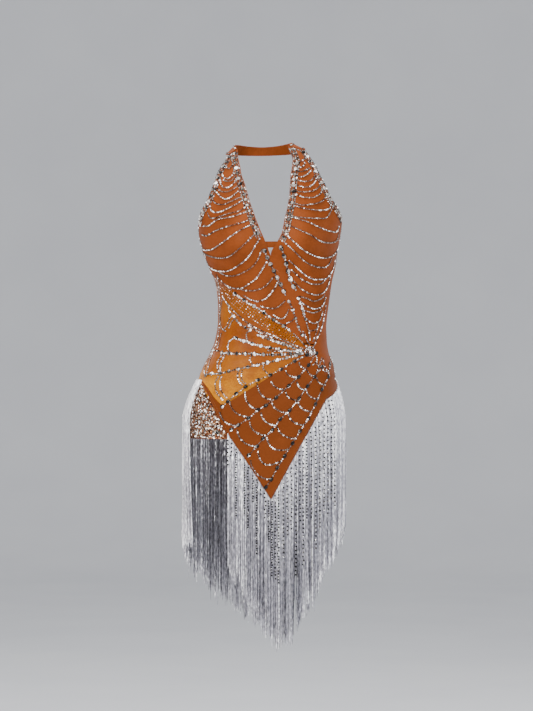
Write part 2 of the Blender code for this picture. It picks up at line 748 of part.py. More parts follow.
def all_fringes():
    """The four runs of fringe, from the panel's front edge round to the slit."""
    angles = hip_arc()
    tip = angle_at(HIP_PANEL[-1][3], HIP_Z)
    bounds = (
        ("fringe_front_right", -math.pi, tip),
        ("fringe_front_left", tip, math.pi / 2),
        ("fringe_back_left", math.pi / 2, math.pi),
        ("fringe_back_right", math.pi, 2 * math.pi),
    )
    ragged = random.Random(FRINGE_SEED)
    for name, start, end in bounds:
        fringe(name, [angle for angle in angles if start < angle <= end], SILVER_FRINGE, ragged)


def main():
    for old in list(bpy.data.objects):
        bpy.data.objects.remove(old)
    for name in ("latin_dance_dress", "helpers"):
        bpy.context.scene.collection.children.link(bpy.data.collections.new(name))

    bodice("bodice_right", BODICE_RIGHT, -1, SKIN_CLOTH)
    bodice("bodice_left", BODICE_LEFT, 1, SKIN_CLOTH)
    bust_bridge("bust_bridge", SKIN_CLOTH)
    neck_band("neck_band", SKIN_CLOTH)
    panel("window_mesh", WINDOW_MESH, SHEER_MESH, (0, SWAG_HALF, 1 - SWAG_HALF), 2, (SEAM, 0, SEAM, SEAM))
    panel("midriff_mesh", MIDRIFF_MESH, SHEER_MESH, (0, 0.5), 8, (SEAM, SEAM, MIDRIFF_TOP_SEAM, SEAM))
    side_panel("side_panel_left", SKIN_CLOTH)
    back_panel("back_panel", SKIN_CLOTH)
    hip_panel("hip_panel", SKIN_CLOTH)
    panel("shorts_front", SHORTS_FRONT, SEQUINS, (0, 0.5), 4, (SEAM, SEAM, SEAM, 0))
    shorts_back("shorts_back", SEQUINS)
    gusset("shorts_gusset", SEQUINS)
    waist_cluster("waist_cluster", CRYSTAL)
    for number, table in enumerate(RAYS, 1):
        ray(f"ray_{number}", table, CRYSTAL)
    for number in range(len(NET_LINES)):
        net_chain(f"net_chain_{number + 1}", number, CRYSTAL)
    all_fringes()


main()
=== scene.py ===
"""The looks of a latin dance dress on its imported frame: cloth, mesh, crystals, sequins and fringe.

-Y is the way the wearer faces and +X the wearer's left. The tables are in millimetres from the nape.
A place on the figure is an angle round it and a height. The angle is 0 at the front and grows towards
the wearer's left, to half a turn at the back.
"""

import math

import bmesh
import bpy
import numpy as np
from mathutils import Matrix, Vector
from mathutils.kdtree import KDTree


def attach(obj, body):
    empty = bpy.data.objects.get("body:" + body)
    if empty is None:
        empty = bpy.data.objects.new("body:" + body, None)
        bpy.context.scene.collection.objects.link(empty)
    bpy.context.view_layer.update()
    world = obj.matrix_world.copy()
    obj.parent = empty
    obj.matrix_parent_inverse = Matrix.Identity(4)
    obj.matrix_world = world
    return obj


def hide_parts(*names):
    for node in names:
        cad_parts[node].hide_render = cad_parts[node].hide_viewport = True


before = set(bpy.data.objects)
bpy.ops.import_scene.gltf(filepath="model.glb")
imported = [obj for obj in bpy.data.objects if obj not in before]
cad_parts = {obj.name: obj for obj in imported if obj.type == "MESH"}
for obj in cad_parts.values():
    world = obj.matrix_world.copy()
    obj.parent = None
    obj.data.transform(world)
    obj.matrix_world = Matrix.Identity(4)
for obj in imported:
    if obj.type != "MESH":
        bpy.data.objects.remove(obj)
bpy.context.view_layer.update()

MM = 0.001
UP = np.array((0.0, 0.0, 1.0))
HALF_TURN = math.pi
NEAR = 1e-4  # places closer than this count as one
LOCK_SEED, THREAD_SEED, SEQUIN_SEED, STREWN_SEED, STITCH_SEED, COLUMN_SEED = 21, 30, 5, 9, 8, 50

# Camera and studio, in metres
CAMERA_PLACE = (0.0073, -5.6, -0.4316)
VIEW_HEIGHT, VIEW_DISTANCE = 1.479, 5.5
SENSOR = 36.0
FLOOR_Z, FLOOR_RADIUS, COVE_RADIUS, WALL_HEIGHT = -1.45, 6.4, 1.6, 2.4
FLOOR_HOLE = 0.001  # the sweep's middle is drawn this far out, and closed afterwards
COVE_STEPS, SWEEP_SIDES = 8, 64
# Columns: name, place, width, watts, colour
LIGHTS = (
    ("key_softbox", (-1.8, -2.7, 1.5), 1.4, 86, "FFF6EC"),
    ("fill_softbox", (2.9, -2.8, 0.2), 2.2, 40, "EEF3FF"),
    ("left_rim_strip", (-2.0, 2.0, 0.9), 1.0, 22, "FFFFFF"),
    ("right_rim_strip", (2.1, 1.9, 0.6), 1.0, 22, "FFFFFF"),
    ("top_softbox", (0.0, -0.4, 2.6), 1.8, 60, "FFFFFF"),
    ("left_glint", (-1.0, -4.4, 0.7), 0.3, 16, "FFFFFF"),
    ("right_glint", (1.2, -4.2, 0.2), 0.3, 16, "FFFFFF"),
    ("low_glint", (0.3, -4.6, -0.9), 0.3, 10, "FFFFFF"),
)
LIGHT_TARGET, WORLD_STRENGTH, WORLD_COLOUR = (0.0, -0.1, -0.4), 1.0, "E6E8EC"

# Layers of the dress: the inner and outer distance of a cloth from the figure
CLOTH = (0.3, 1.4)
MESH_CLOTH = (0.7, 1.4)
BRIDGE = (-1.9, -0.8)
OVERLAY = (2.6, 3.8)
BINDING = (1.5, 2.3)
BINDING_Z, BINDING_WIDTH = (-598, -540, -530, -518, -500, -480), (20, 26, 17, 11, 8, 1)
SEAM = 0.04  # half of the gap between two pieces that are sewn edge to edge
HEM_WIDTH, HEM_RISE, HEM_STEP = 7.0, 0.55, 1.5  # an edge turned in is thicker as far as its stitches
SHARP = 60  # degrees between faces, from where an edge of the cloth shows as a crease
# How far a pattern runs round each piece where it is flat, and along the two that aren't cut to the figure
CUT_RADIUS, BAND_CUT, GUSSET_CUT = 120, (260, 20), (70, 250)

# The figure: level sections from the neck to the hip. Below the last one cloth hangs straight down.
ROUNDNESS = 0.88  # 1 is an ellipse, less is squarer
# Columns: z, centre_x, half_width, front_y, side_y, back_y
FIGURE = np.array((
    (10, 12, 80, -76, -50, 0),
    (-25, 13, 101, -106, -60, 12),
    (-50, 14, 120, -120, -66, 20),
    (-80, 14.5, 137, -132, -70, 28),
    (-108, 14.5, 147, -141, -71, 32),
    (-133, 14.5, 150, -147, -69, 35),
    (-161, 14.5, 148, -152, -66, 36),
    (-190, 14, 144.5, -155, -63, 34),
    (-221, 15.3, 137.5, -156, -62, 29),
    (-245, 19, 130.5, -155, -64, 23),
    (-279, 22, 120.5, -153, -67, 15),
    (-317, 22, 115, -152, -70, 9),
    (-364, 19.2, 112, -153, -73, 6),
    (-389, 17.4, 114, -156, -73, 9),
    (-417, 14.5, 119.5, -160, -72, 15),
    (-463, 9.5, 136, -167, -68, 28),
    (-484, 7.5, 142, -170, -66, 35),
    (-524, 5.5, 153, -172, -62, 46),
    (-560, 4.5, 158, -171, -60, 50),
    (-604, 4.2, 161, -167, -58, 46),
))
HIP_Z = FIGURE[-1][0]
CUP_SPACING, CUP_Z, CUP_DEPTH = 67, -198, 37
CUP_WIDTH, CUP_ABOVE, CUP_BELOW = 50, 66, 45
SLOPE_TURN, SLOPE_RISE = 0.01, 1.0  # how far to each side of a place the figure's slope is measured
SIDE = 999  # an x past the figure's side, for an edge that lies on a side seam

# Cups: one row for each draped chain, from its end at the neckline to its end at the outer edge
# Columns: inner_x, inner_z, outer_x, outer_z, sag
CUP_RIGHT = np.array((
    (-53, -2, -71, -16, 0),
    (-48, -36, -84, -37, 13),
    (-44, -58, -93, -57, 22),
    (-38, -75, -100, -75, 29),
    (-33, -92, -108, -94, 28),
    (-29, -106, -116, -112, 26),
    (-25, -121, -125, -127, 23),
    (-20, -135, -131, -150, 14),
    (-16, -148, -SIDE, -172, 14),
    (-11, -161, -SIDE, -196, 18),
    (-6, -174, -SIDE, -213, 24),
    (0, -187, -SIDE, -229, 38),
    (9, -208, -SIDE, -244, 34),
    (20, -233, -SIDE, -256, 40),
    (27, -250, -84, -279, 24),
    (33, -264, -50, -306, 15),
    (42, -286, -27, -324, 15),
    (56, -320, -3, -341, 9),
    (63, -337, 21, -357, 9),
    (72, -359, 44, -373, 6),
    (82, -383, 66, -389, 3),
    (91, -406, 84, -405, 0),
))
CUP_LEFT = np.array((
    (52, 4, 86, -4, 0),
    (61, -22, 97, -20, 14),
    (60, -40, 106, -36, 18),
    (57, -58, 113, -51, 16),
    (56, -73, 121, -65, 13),
    (55, -88, 128, -80, 12),
    (54, -102, 135, -94, 12),
    (52, -116, 141, -107, 13),
    (50, -129, 150, -118, 17),
    (46, -145, 158, -133, 20),
    (44, -156, SIDE, -158, 16),
    (42, -167, SIDE, -182, 20),
    (39, -181, SIDE, -208, 25),
    (30, -198, SIDE, -230, 25),
    (16, -224, SIDE, -247, 28),
    (33, -264, 143, -272, 22),
    (42, -286, 138, -292, 22),
    (50, -305, 134, -312, 16),
    (57, -322, 131, -331, 14),
    (65, -342, 126, -352, 12),
    (74, -364, 119, -373, 9),
    (84, -388, 110, -395, 4),
    (92, -407, 104, -408, 0),
))
SAG_LEAN = 1.35  # over 1 the lowest place of a swag lies nearer its outer end

# Pieces that run between two edges: an upper and a lower point for each station along them
# Columns: top_x, top_z, bottom_x, bottom_z
SIDE_PANEL_FROM, SIDE_PANEL_STEPS = 14.05, 30  # the row of the left cup where its side panel starts
SIDE_PANEL_FOOT = ((106, -425), (104, -452), (100, -484))
WINDOW = np.array((
    (-SIDE, -256, -SIDE, -283),
    (-84, -279, -92, -302),
    (-50, -306, -72, -318),
    (-27, -324, -46, -343),
    (-3, -341, -18, -363),
    (21, -357, 4, -377),
    (44, -373, 30, -391),
    (66, -389, 56, -404),
    (84, -405, 80, -415),
))
MIDRIFF = np.array((
    (-SIDE, -283, -SIDE, -484),
    (-92, -302, -126, -484),
    (-72, -318, -103, -530),
    (-59, -331, -79, -583),
    (-46, -343, -66, -552),
    (-18, -363, -35, -528),
    (4, -377, 0, -504),
    (30, -391, 35, -480),
    (56, -404, 62, -459),
    (80, -415, 82, -440),
    (85.2, -407, 88, -441),
    (92, -409, 94, -442),
    (103.2, -411, 102.6, -446),
))
SHORTS = np.array((
    (-SIDE, -484, -SIDE, -604),
    (-126, -484, -138, -604),
    (-103, -530, -116, -604),
    (-79, -583, -88, -604),
    (-66, -552, -70, -604),
    (-48, -583, -45, -604),
    (4, -583, 4, -604),
    (53, -575, 53, -604),
    (80, -545, 86, -604),
    (100, -484, 120, -604),
    (SIDE, -484, SIDE, -604),
))
BACK_TOP_SIDE, BACK_TOP_CENTRE, BACK_HEM = -158, -345, -484
SCOOP_ROUNDNESS = 1.4
BRIDGE_SPAN, BRIDGE_TOP, BRIDGE_HEIGHT = (-4, 42), -197, 13

# Hip panel: a row for each line of its crystal net, from the left side seam to the front edge
# Columns: side_z, bend_x, bend_z, front_x, front_z
HIP_PANEL = np.array((
    (-436, 98, -423, -84, -537),
    (-451, 100, -450, -72, -588),
    (-465, 108, -478, -36, -645),
    (-479, 119, -503, 2, -704),
    (-492, 128, -521, 16.6, -727),
))
LAST_LINE = len(HIP_PANEL) - 1
BEND_SHARE = 0.27  # how far along a line the bend under the waist lies

# Columns: upper_x, upper_y, upper_z, lower_x, lower_y, lower_z
NECK_BAND = np.array((
    (-53, -76.6, 0.4, -71.5, -78, -13.6),
    (-56, -63, 5, -75, -62, -12),
    (-58, -46, 9, -77, -44, -10),
    (-50, -22, 11, -66, -14, -9),
    (-29, -6, 10, -34, 0, -9),
    (0, -2, 9, 0, 2, -9),
    (30, -6, 11, 36, 0, -8),
    (52, -20, 14, 70, -12, -6),
    (60, -42, 14, 86, -40, -2),
    (57, -62, 10, 88, -60, 0),
    (52, -77.3, 5.8, 86.5, -74.2, -2),
))
GATHERS = ((0.35, 61), (0.25, 143))  # the height of the band's gathers, and the angle that they run through
# Columns: y, z, half_width
GUSSET = np.array((
    (-165.3, -604.4, 40),
    (-151, -623, 36),
    (-118, -641, 30),
    (-70, -648, 28),
    (-20, -642, 33),
    (24, -625, 40),
    (43.5, -604.4, 46),
))

# Creases in the stretched cloth, each from one point to another. A minus height is a trough.
# Columns: x, z, to_x, to_z, height, width
CREASE_BOW = 0.06  # how far the middle of a crease bows out, as a share of its length
CREASES_FRONT = (
    (-66, -30, -58, -96, 0.7, 5),
    (-96, -92, -70, -128, -0.6, 6),
    (-118, -150, -66, -128, 0.6, 6),
    (-112, -236, -30, -268, 1.0, 7),
    (-100, -262, -36, -300, -0.9, 6),
    (-60, -214, 16, -262, 0.8, 8),
    (-4, -250, 52, -330, -0.7, 6),
    (72, -20, 84, -92, 0.7, 6),
    (112, -64, 84, -118, -0.6, 6),
    (60, -248, 132, -262, 0.9, 8),
    (56, -292, 126, -316, -0.8, 6),
    (78, -330, 112, -352, 0.8, 6),
    (98, -392, 124, -330, -0.7, 7),
    (-112, -338, -8, -392, 0.9, 8),
    (-108, -392, 52, -421, -0.9, 7),
    (-116, -436, -20, -438, 0.8, 9),
    (-100, -458, 58, -431, -0.8, 6),
    (-108, -474, -86, -560, 1.2, 7),
    (-90, -480, -62, -536, -0.9, 6),
    (-40, -470, -18, -512, 0.9, 8),
    (-60, -562, 60, -470, -0.8, 8),
    (-38, -612, 84, -506, 0.8, 10),
    (-6, -672, 60, -560, -0.7, 9),
    (16, -706, 96, -540, 0.7, 8),
    (88, -446, 132, -474, 0.8, 7),
    (-132, -520, -96, -590, 0.7, 7),
)
CREASES_BACK = (
    (-112, -214, -64, -300, 0.9, 8),
    (112, -210, 70, -292, -0.8, 7),
    (-104, -262, -20, -352, -1.0, 8),
    (106, -268, 26, -356, 1.1, 9),
    (-98, -372, 40, -384, 1.5, 7),
    (-60, -392, 96, -398, -1.4, 6),
    (-92, -408, -4, -412, 1.2, 6),
    (8, -414, 100, -424, 1.3, 7),
    (-108, -440, -40, -426, -0.9, 6),
    (36, -442, 112, -452, -0.8, 7),
    (-30, -360, -8, -470, 0.7, 9),
)

# Crystals. A bead of a row is its length along the row and its width.
ROUND_3, ROUND_4, ROUND_5, ROUND_6, ROUND_9 = ((size, size) for size in (3.2, 3.8, 5.0, 6.2, 8.6))
OVAL = (10.6, 7.4)
BEAD_GAP = 0.45
EDGE_ROW = 5.8  # the large crystals of an edging lie this far inside the edge
EDGE_BORDER = 5.6  # and a row of small ones lies this far to each side of them
SEAM_ROW, STRAP_END = 2.2, 0.14  # how far inside the side seam its row lies, and the cup's row at its top end
# Where the edgings run, by the rows of each cup: down its neckline, down its armhole and down its side seam
# Columns: name, neck_rows, arm_rows, seam_rows
EDGED = (("right", (0.15, 11), (0.15, 7.3), (7.5, 13.4)), ("left", (0.15, 12.9), (0.15, 9.6), (9.8, 14.3)))
BAND_ROWS, BAND_ENDS, BAND_STEPS = (0.13, 0.87), (0.004, 0.996), 300  # shares of the band's height and length
SWAG_SLACK = 2.4  # how far the middle of a draped chain hangs clear of the cloth
LINE_STEPS, MOST_BEADS = 16, 800  # steps to each point of a line while beads are laid along it
STONE_TIP, STONE_UNLIKE = 0.09, 0.26  # how far stones are tipped, and how unlike each other they are in their share of facets painted dark
PAINTED_DARK_ABOVE, PAINTED_DARK_SIDE = 0.6, 1.1  # how much likelier facets are painted dark that look up, or to one side of their stone: painted shade
# The least and most painted light of a stone painted as catching the lamps, of one painted as not catching
# them and of a facet painted dark, and how much of its stone's painted light a clear facet has
LIT_STONE, UNLIT_STONE, PAINTED_DARK_FACET, CLEAR_FACET = (0.88, 1), (0.42, 0.76), (0, 0.24), (0.75, 1)

# Rows of crystals on the front, each a line of x and z: chains draped across the cups, lit and less lit. They
# are
# the same chain painted in two lights: the lit rows have more stones painted as catching the lamps.
RIGHT_CHAINS_LIT = (
    ((-84, -56), (-78, -65), (-71, -66), (-63, -60), (-60, -51)),
    ((-88, -66), (-86, -77), (-80, -85), (-70, -85), (-61, -77), (-54, -67)),
    ((-102, -84), (-90, -100), (-79, -109), (-69, -108), (-60, -101), (-50, -92)),
    ((-109, -121), (-105, -132), (-92, -137), (-77, -133), (-56, -122), (-38, -109)),
    ((-124, -162), (-110, -163), (-92, -152), (-64, -148), (-40, -139), (-28, -134)),
    ((-129, -191), (-124, -208), (-106, -212), (-79, -198), (-42, -173), (-19, -160)),
    ((-120, -220), (-113, -240), (-98, -253), (-73, -256), (-52, -246), (-29, -226), (-7, -191)),
    ((-73, -287), (-60, -292), (-42, -292), (-15, -274), (-6, -261), (8, -238)),
    ((-40, -307), (-27, -315), (-12, -320), (6, -314), (21, -297), (31, -277)),
    ((21, -347), (30, -354), (41, -355), (50, -344), (53, -335)),
)
RIGHT_CHAINS_LESS_LIT = (
    ((-81, -33), (-76, -41), (-71, -45), (-66, -42), (-62, -34)),
    ((-82, -67), (-77, -71), (-71, -72), (-64, -70), (-56, -62)),
    ((-94, -85), (-85, -93), (-71, -94), (-58, -87), (-52, -81)),
    ((-105, -104), (-98, -116), (-85, -121), (-71, -118), (-56, -110), (-44, -105)),
    ((-114, -135), (-108, -146), (-98, -148), (-73, -142), (-48, -135), (-35, -125)),
    ((-126, -179), (-114, -183), (-94, -174), (-56, -164), (-35, -157), (-21, -147)),
    ((-125, -212), (-106, -225), (-85, -229), (-64, -224), (-37, -202), (-11, -176)),
    ((-94, -255), (-75, -265), (-54, -265), (-29, -253), (-12, -235), (-2, -213)),
    ((-52, -291), (-37, -297), (-15, -297), (6, -288), (23, -269)),
    ((-6, -329), (8, -334), (25, -334), (37, -327), (46, -318)),
    ((46, -370), (50, -365), (58, -361), (64, -356)),
)
LEFT_CHAINS_LIT = (
    ((60, -32), (67, -37), (76, -43), (84, -38), (87, -30)),
    ((62, -54), (71, -61), (81, -63), (92, -56), (100, -46)),
    ((60, -76), (69, -78), (77, -84), (94, -84), (104, -77), (110, -64)),
    ((60, -99), (69, -100), (83, -106), (102, -106), (116, -99), (122, -87)),
    ((54, -124), (62, -123), (83, -130), (116, -133), (135, -128), (139, -116), (136, -100)),
    ((48, -147), (58, -148), (89, -158), (119, -170), (141, -175), (152, -173), (157, -162)),
    ((40, -171), (56, -191), (85, -216), (116, -229), (139, -226), (152, -213), (157, -202)),
    ((54, -235), (75, -255), (94, -270), (112, -274), (131, -269), (144, -250), (149, -231)),
    ((62, -277), (77, -293), (94, -303), (110, -306), (127, -297), (135, -279), (139, -264)),
    ((73, -318), (87, -328), (104, -335), (121, -328), (129, -310)),
    ((82, -347), (92, -360), (104, -365), (116, -357), (123, -339)),
)
LEFT_CHAINS_LESS_LIT = (
    ((67, -25), (72, -31), (78, -30), (83, -27), (87, -21)),
    ((64, -46), (71, -50), (79, -52), (89, -48), (96, -42)),
    ((69, -68), (77, -71), (87, -73), (100, -69), (108, -56)),
    ((62, -87), (75, -94), (96, -94), (110, -88), (119, -76)),
    ((58, -114), (71, -121), (85, -123), (108, -119), (123, -111), (133, -98)),
    ((48, -139), (60, -146), (83, -150), (112, -150), (129, -147), (141, -129), (146, -114)),
    ((48, -162), (75, -175), (96, -185), (116, -196), (137, -198), (152, -191), (157, -173)),
    ((44, -199), (64, -216), (85, -236), (104, -246), (125, -249), (137, -239), (141, -229)),
    ((58, -254), (77, -272), (94, -282), (110, -284), (121, -281), (129, -272)),
    ((71, -311), (77, -310), (92, -315), (104, -319), (121, -312), (127, -305)),
    ((79, -339), (89, -340), (100, -343), (112, -340), (121, -335)),
    ((94, -381), (102, -380), (110, -376), (114, -370)),
    ((89, -362), (92, -379), (97, -401)),
    ((81, -381), (85, -389), (89, -401), (96, -410)),
    ((114, -362), (108, -383), (102, -404)),
)
# the lower edge of the right cup, what follows the edgings down both necklines, and the left cup's outer edge
CUP_EDGE_ENDS = (
    ((-96, -263), (-85, -277), (-73, -288), (-64, -296)),
    ((62, -386), (71, -395), (83, -408), (92, -416)),
)
CUP_EDGE = (((-60, -301), (-48, -311), (-29, -323), (-2, -340), (23, -358), (44, -372), (58, -383)),)
RIGHT_NECK_LOW = (((1, -211), (10, -232), (22, -256), (33, -279), (47, -308)),)
RIGHT_NECK_LAST = (((51, -317), (58, -330), (64, -347), (69, -362), (74, -376), (81, -393)),)
LEFT_NECK_LOW = (((36, -205), (44, -227), (51, -256), (58, -280), (68, -298)),)
LEFT_NECK_LAST = (((71, -310), (79, -330), (84, -349), (89, -360)),)
LEFT_OUTER_LOW = (
    ((129, -327), (127, -343), (123, -364), (118, -379), (112, -393), (106, -408), (102, -418)),
)
# the rays across the midriff to the waist, and the loops between them
RAY_1_SOFT = (
    ((-73, -322), (-64, -335), (-52, -346), (-31, -365), (-12, -376), (15, -389), (50, -404), (85, -420)),
    ((-33, -368), (-15, -380), (6, -390), (29, -400), (60, -414)),
)
RAY_1_BRIGHT = (
    ((-60, -348), (-50, -363), (-42, -370), (-34, -375), (-23, -381)),
    ((-12, -388), (9, -397), (33, -406), (56, -414), (79, -422)),
)
RAY_2 = (((-58, -394), (-43, -401), (-23, -407), (14, -416), (42, -420), (83, -425)),)
RAY_3 = (((-87, -427), (-62, -428), (-23, -428), (21, -430), (83, -427)),)
RAY_3_SOFT = (((8, -422), (37, -423), (71, -423)),)
RAY_4 = (((-120, -475), (-109, -470), (-87, -469), (-52, -460), (-10, -451), (35, -440), (81, -428)),)
LOOPS_BRIGHT = (
    ((-23, -381), (-32, -384), (-34, -393), (-31, -404)),
    ((-57, -393), (-68, -402), (-72, -415), (-67, -426)),
    ((-61, -348), (-69, -359), (-74, -371), (-81, -379)),
    ((-57, -355), (-64, -363), (-70, -376)),
    ((-83, -422), (-82, -430), (-92, -444), (-93, -457), (-88, -469)),
    ((-90, -474), (-97, -487), (-95, -505), (-81, -524)),
    ((-74, -427), (-84, -443), (-87, -453), (-86, -468)),
    ((-84, -474), (-88, -489), (-85, -505), (-73, -519)),
    ((-22, -431), (-27, -440), (-21, -451)),
    ((3, -451), (0, -458), (10, -468)),
    ((-49, -463), (-52, -474), (-49, -484), (-42, -493)),
    ((-42, -462), (-44, -474), (-41, -485), (-34, -490)),
)
LOOPS_SOFT = (
    ((-81, -308), (-85, -327), (-87, -354), (-85, -374), (-75, -382)),
    (
        (-94, -266), (-90, -295), (-88, -337), (-89, -374), (-95, -406), (-107, -430), (-119, -456),
        (-118, -476),
    ),
    ((-85, -385), (-89, -401), (-93, -417)),
    ((-103, -426), (-111, -451), (-116, -471)),
    ((-106, -421), (-97, -422), (-88, -423)),
    ((-83, -309), (-77, -318), (-71, -329), (-69, -339), (-61, -347)),
)
WAIST_FAN = (
    ((104, -424), (109, -441), (100, -453)),
    ((119, -436), (113, -454), (108, -468)),
    ((121, -438), (126, -459), (133, -465)),
    ((137, -437), (136, -452), (131, -472)),
    ((139, -440), (144, -458), (147, -486)),
)
# Columns: name, stone, beads, layer, dark, stands_for, lines
STONE_LINES = (
    ("cup_edge_ends", "small", (ROUND_3,), CLOTH, 0.3, [], CUP_EDGE_ENDS),
    ("cup_edge", "large", (ROUND_9, ROUND_4, (6.2, 5.2), ROUND_4), CLOTH, 0.4, [], CUP_EDGE),
    ("right_neck_low", "large", ((10.4, 9.6), ROUND_4), CLOTH, 0.4, [], RIGHT_NECK_LOW),
    ("right_neck_last", "large", ((7.4, 7.4), ROUND_5, ROUND_4), CLOTH, 0.35, [], RIGHT_NECK_LAST),
    ("left_neck_low", "large", ((12.4, 9.6), ROUND_4), CLOTH, 0.45, [], LEFT_NECK_LOW),
    ("left_neck_last", "large", ((7.0, 7.0), ROUND_4), CLOTH, 0.4, [], LEFT_NECK_LAST),
    ("left_outer_low", "small", (ROUND_4,), CLOTH, 0.4, [], LEFT_OUTER_LOW),
    ("ray_1_soft", "small", (ROUND_3, ROUND_4), MESH_CLOTH, 0.3, ["ray_1"], RAY_1_SOFT),
    ("ray_1_bright", "large", (ROUND_6, ROUND_4), MESH_CLOTH, 0.25, [], RAY_1_BRIGHT),
    ("ray_2_stones", "large", ((8.4, 7.6), ROUND_4, ROUND_5), MESH_CLOTH, 0.3, ["ray_2"], RAY_2),
    ("ray_3_stones", "large", ((7.8, 9.0), ROUND_5, (4.2, 6.0)), MESH_CLOTH, 0.3, ["ray_3"], RAY_3),
    ("ray_3_soft", "small", (ROUND_3,), MESH_CLOTH, 0.3, [], RAY_3_SOFT),
    ("ray_4_stones", "large", ((9.6, 7.2), ROUND_4, ROUND_5), MESH_CLOTH, 0.3, ["ray_4"], RAY_4),
    ("loops_bright", "small", (ROUND_4,), MESH_CLOTH, 0.12, [], LOOPS_BRIGHT),
    ("loops_soft", "small", (ROUND_3,), MESH_CLOTH, 0.2, [], LOOPS_SOFT),
    ("waist_fan", "small", (ROUND_3,), OVERLAY, 0.4, [], WAIST_FAN),
)
# dark and bright are painted light: the share of facets painted dark, and of stones painted as catching the
# lamps
# Columns: name, bead, dark, bright, lines
CHAINS = (
    ("right_chains_lit", ROUND_3, 0.16, 0.6, RIGHT_CHAINS_LIT),
    ("right_chains_less_lit", ROUND_3, 0.3, 0.15, RIGHT_CHAINS_LESS_LIT),
    ("left_chains_lit", ROUND_3, 0.16, 0.6, LEFT_CHAINS_LIT),
    ("left_chains_less_lit", ROUND_3, 0.3, 0.15, LEFT_CHAINS_LESS_LIT),
)

# The net on the hip panel: lines that spread from the waist, each with a large stone at every point, and
# scallops from one line to the next, each from x and z on its upper line to x and z on its lower line. dip is
# how far it hangs below a quarter circle.
NET_LINES = (
    (
        (-82, -536), (-71, -526), (-54, -510), (-35, -496), (-10, -482), (15, -472), (37, -460),
        (64, -444), (89, -431),
    ),
    (
        (-64, -583), (-50, -574), (-29, -560), (-10, -543), (6, -534), (27, -518), (52, -494),
        (72, -476), (92, -452), (108, -428),
    ),
    (
        (-29, -636), (-12, -618), (0, -602), (19, -584), (35, -562), (54, -544), (73, -520),
        (90, -495), (104, -476), (119, -456),
    ),
    (
        (6, -702), (17, -686), (29, -662), (44, -638), (60, -612), (75, -587), (92, -561), (106, -532),
        (119, -502), (132, -476), (135, -451),
    ),
)
NET_CROWDED = 0.4  # no small stones go between two points that a large stone spans more of than this
SCALLOP_STEPS, SCALLOP_CLEAR = 9, 0.03  # points of a scallop, and the angle left clear at its start
# Columns: start_x, start_z, end_x, end_z, dip
SCALLOPS = (
    (
        (-87, -547, -54, -575, 0), (-67, -524, -31, -557, 0), (-37, -505, -11, -541, 0),
        (-12, -487, 17, -522, 0), (17, -483, 46, -502, 0), (46, -462, 69, -477, 0),
        (73, -445, 83, -458, 0),
    ),
    (
        (-52, -582, -15, -618, 0), (-27, -566, 6, -595, 0), (-4, -547, 29, -575, 0),
        (19, -528, 52, -549, 0), (46, -505, 72, -524, 0), (69, -485, 89, -503, 0),
        (89, -460, 104, -474, 0), (108, -443, 119, -458, 0),
    ),
    (
        (-25, -645, 15, -686, 0), (-10, -626, 37, -648, 13), (8, -597, 52, -624, 6),
        (29, -576, 69, -602, 0), (52, -551, 83, -574, 0), (71, -526, 100, -547, 0),
        (89, -505, 114, -522, 0), (108, -476, 127, -493, 0), (119, -456, 129, -466, 0),
    ),
)
# The rows of stones in the window: from one share of its height to another, and how many; from one station to
# another, and in how many steps; and the x from where the stones are dark
WINDOW_STONE, WINDOW_ROWS, WINDOW_REACH = (2.2, 2.2), (0.14, 0.88, 5), (0.3, 7.4, 40)
WINDOW_DARK_FROM = 14
WAIST_POINT, CLUSTER_RADIUS, CLUSTER_RISE = (95, -424), 10, 2.6
# Columns: radius, bead, lift
WAIST_RINGS = ((0, ROUND_6, 4.6), (5.6, ROUND_4, 4.2), (9.4, ROUND_3, 3.6))
BLACK_STONE, BLACK_WIDTH = (-92, -589), (9.6, 9.6)

# Sequins
SEQUIN_WIDTH, SEQUIN_ROW, SEQUIN_STEP, SEQUIN_STRAY = 3.9, 2.8, 3.2, 0.6
SHORTS_RADIUS = 155  # to turn a length round the shorts into an angle
SEQUIN_DISH, SEQUIN_UNLIKE = 0.1, 0.06  # how deep one is, as a share of its width, and how far the shade painted on its faces differs: a painted reflection
SEQUINS_BELOW_TOP, SEQUINS_ABOVE_HEM, SEQUINS_INSIDE = 3, 1, 0.01
SEQUINS_TO, SEQUINS_UNDER = (-70, -590), 0.28  # their front end, and the angle they run on under the fringe
# Sequins in the slit are raised and tipped more than those under the fringe, and they lean up.
RAISED_OPEN, RAISED_UNDER, TIPPED_OPEN, TIPPED_UNDER, LEAN_OPEN = 0.7, 0.35, 0.3, 0.06, 0.12
# Columns: tone, share
SEQUIN_TONES = ((0.05, 0.2), (0.25, 0.3), (0.45, 0.28), (0.7, 0.14), (1.0, 0.08))
# Crystals strewn among the sequins: how many, their widths, how far forwards, and how far inside the edges
STREWN, STREWN_SIZES, STREWN_TO = 300, (2.6, 3.0, 3.8), (-84, -590)
STREWN_ABOVE_HEM, STREWN_BELOW_TOP, STREWN_INSIDE = 2, 6, 3
STREWN_RISE, BLACK_RISE = 1.2, 1.4  # how far they and the black stone stand on the cloth
SHORTS_EDGE_Z = (-606, -588, -583, -530, -484)  # where the sequins stop towards the hip panel
SHORTS_EDGE_X = (-76, -76, -81, -105, -128)

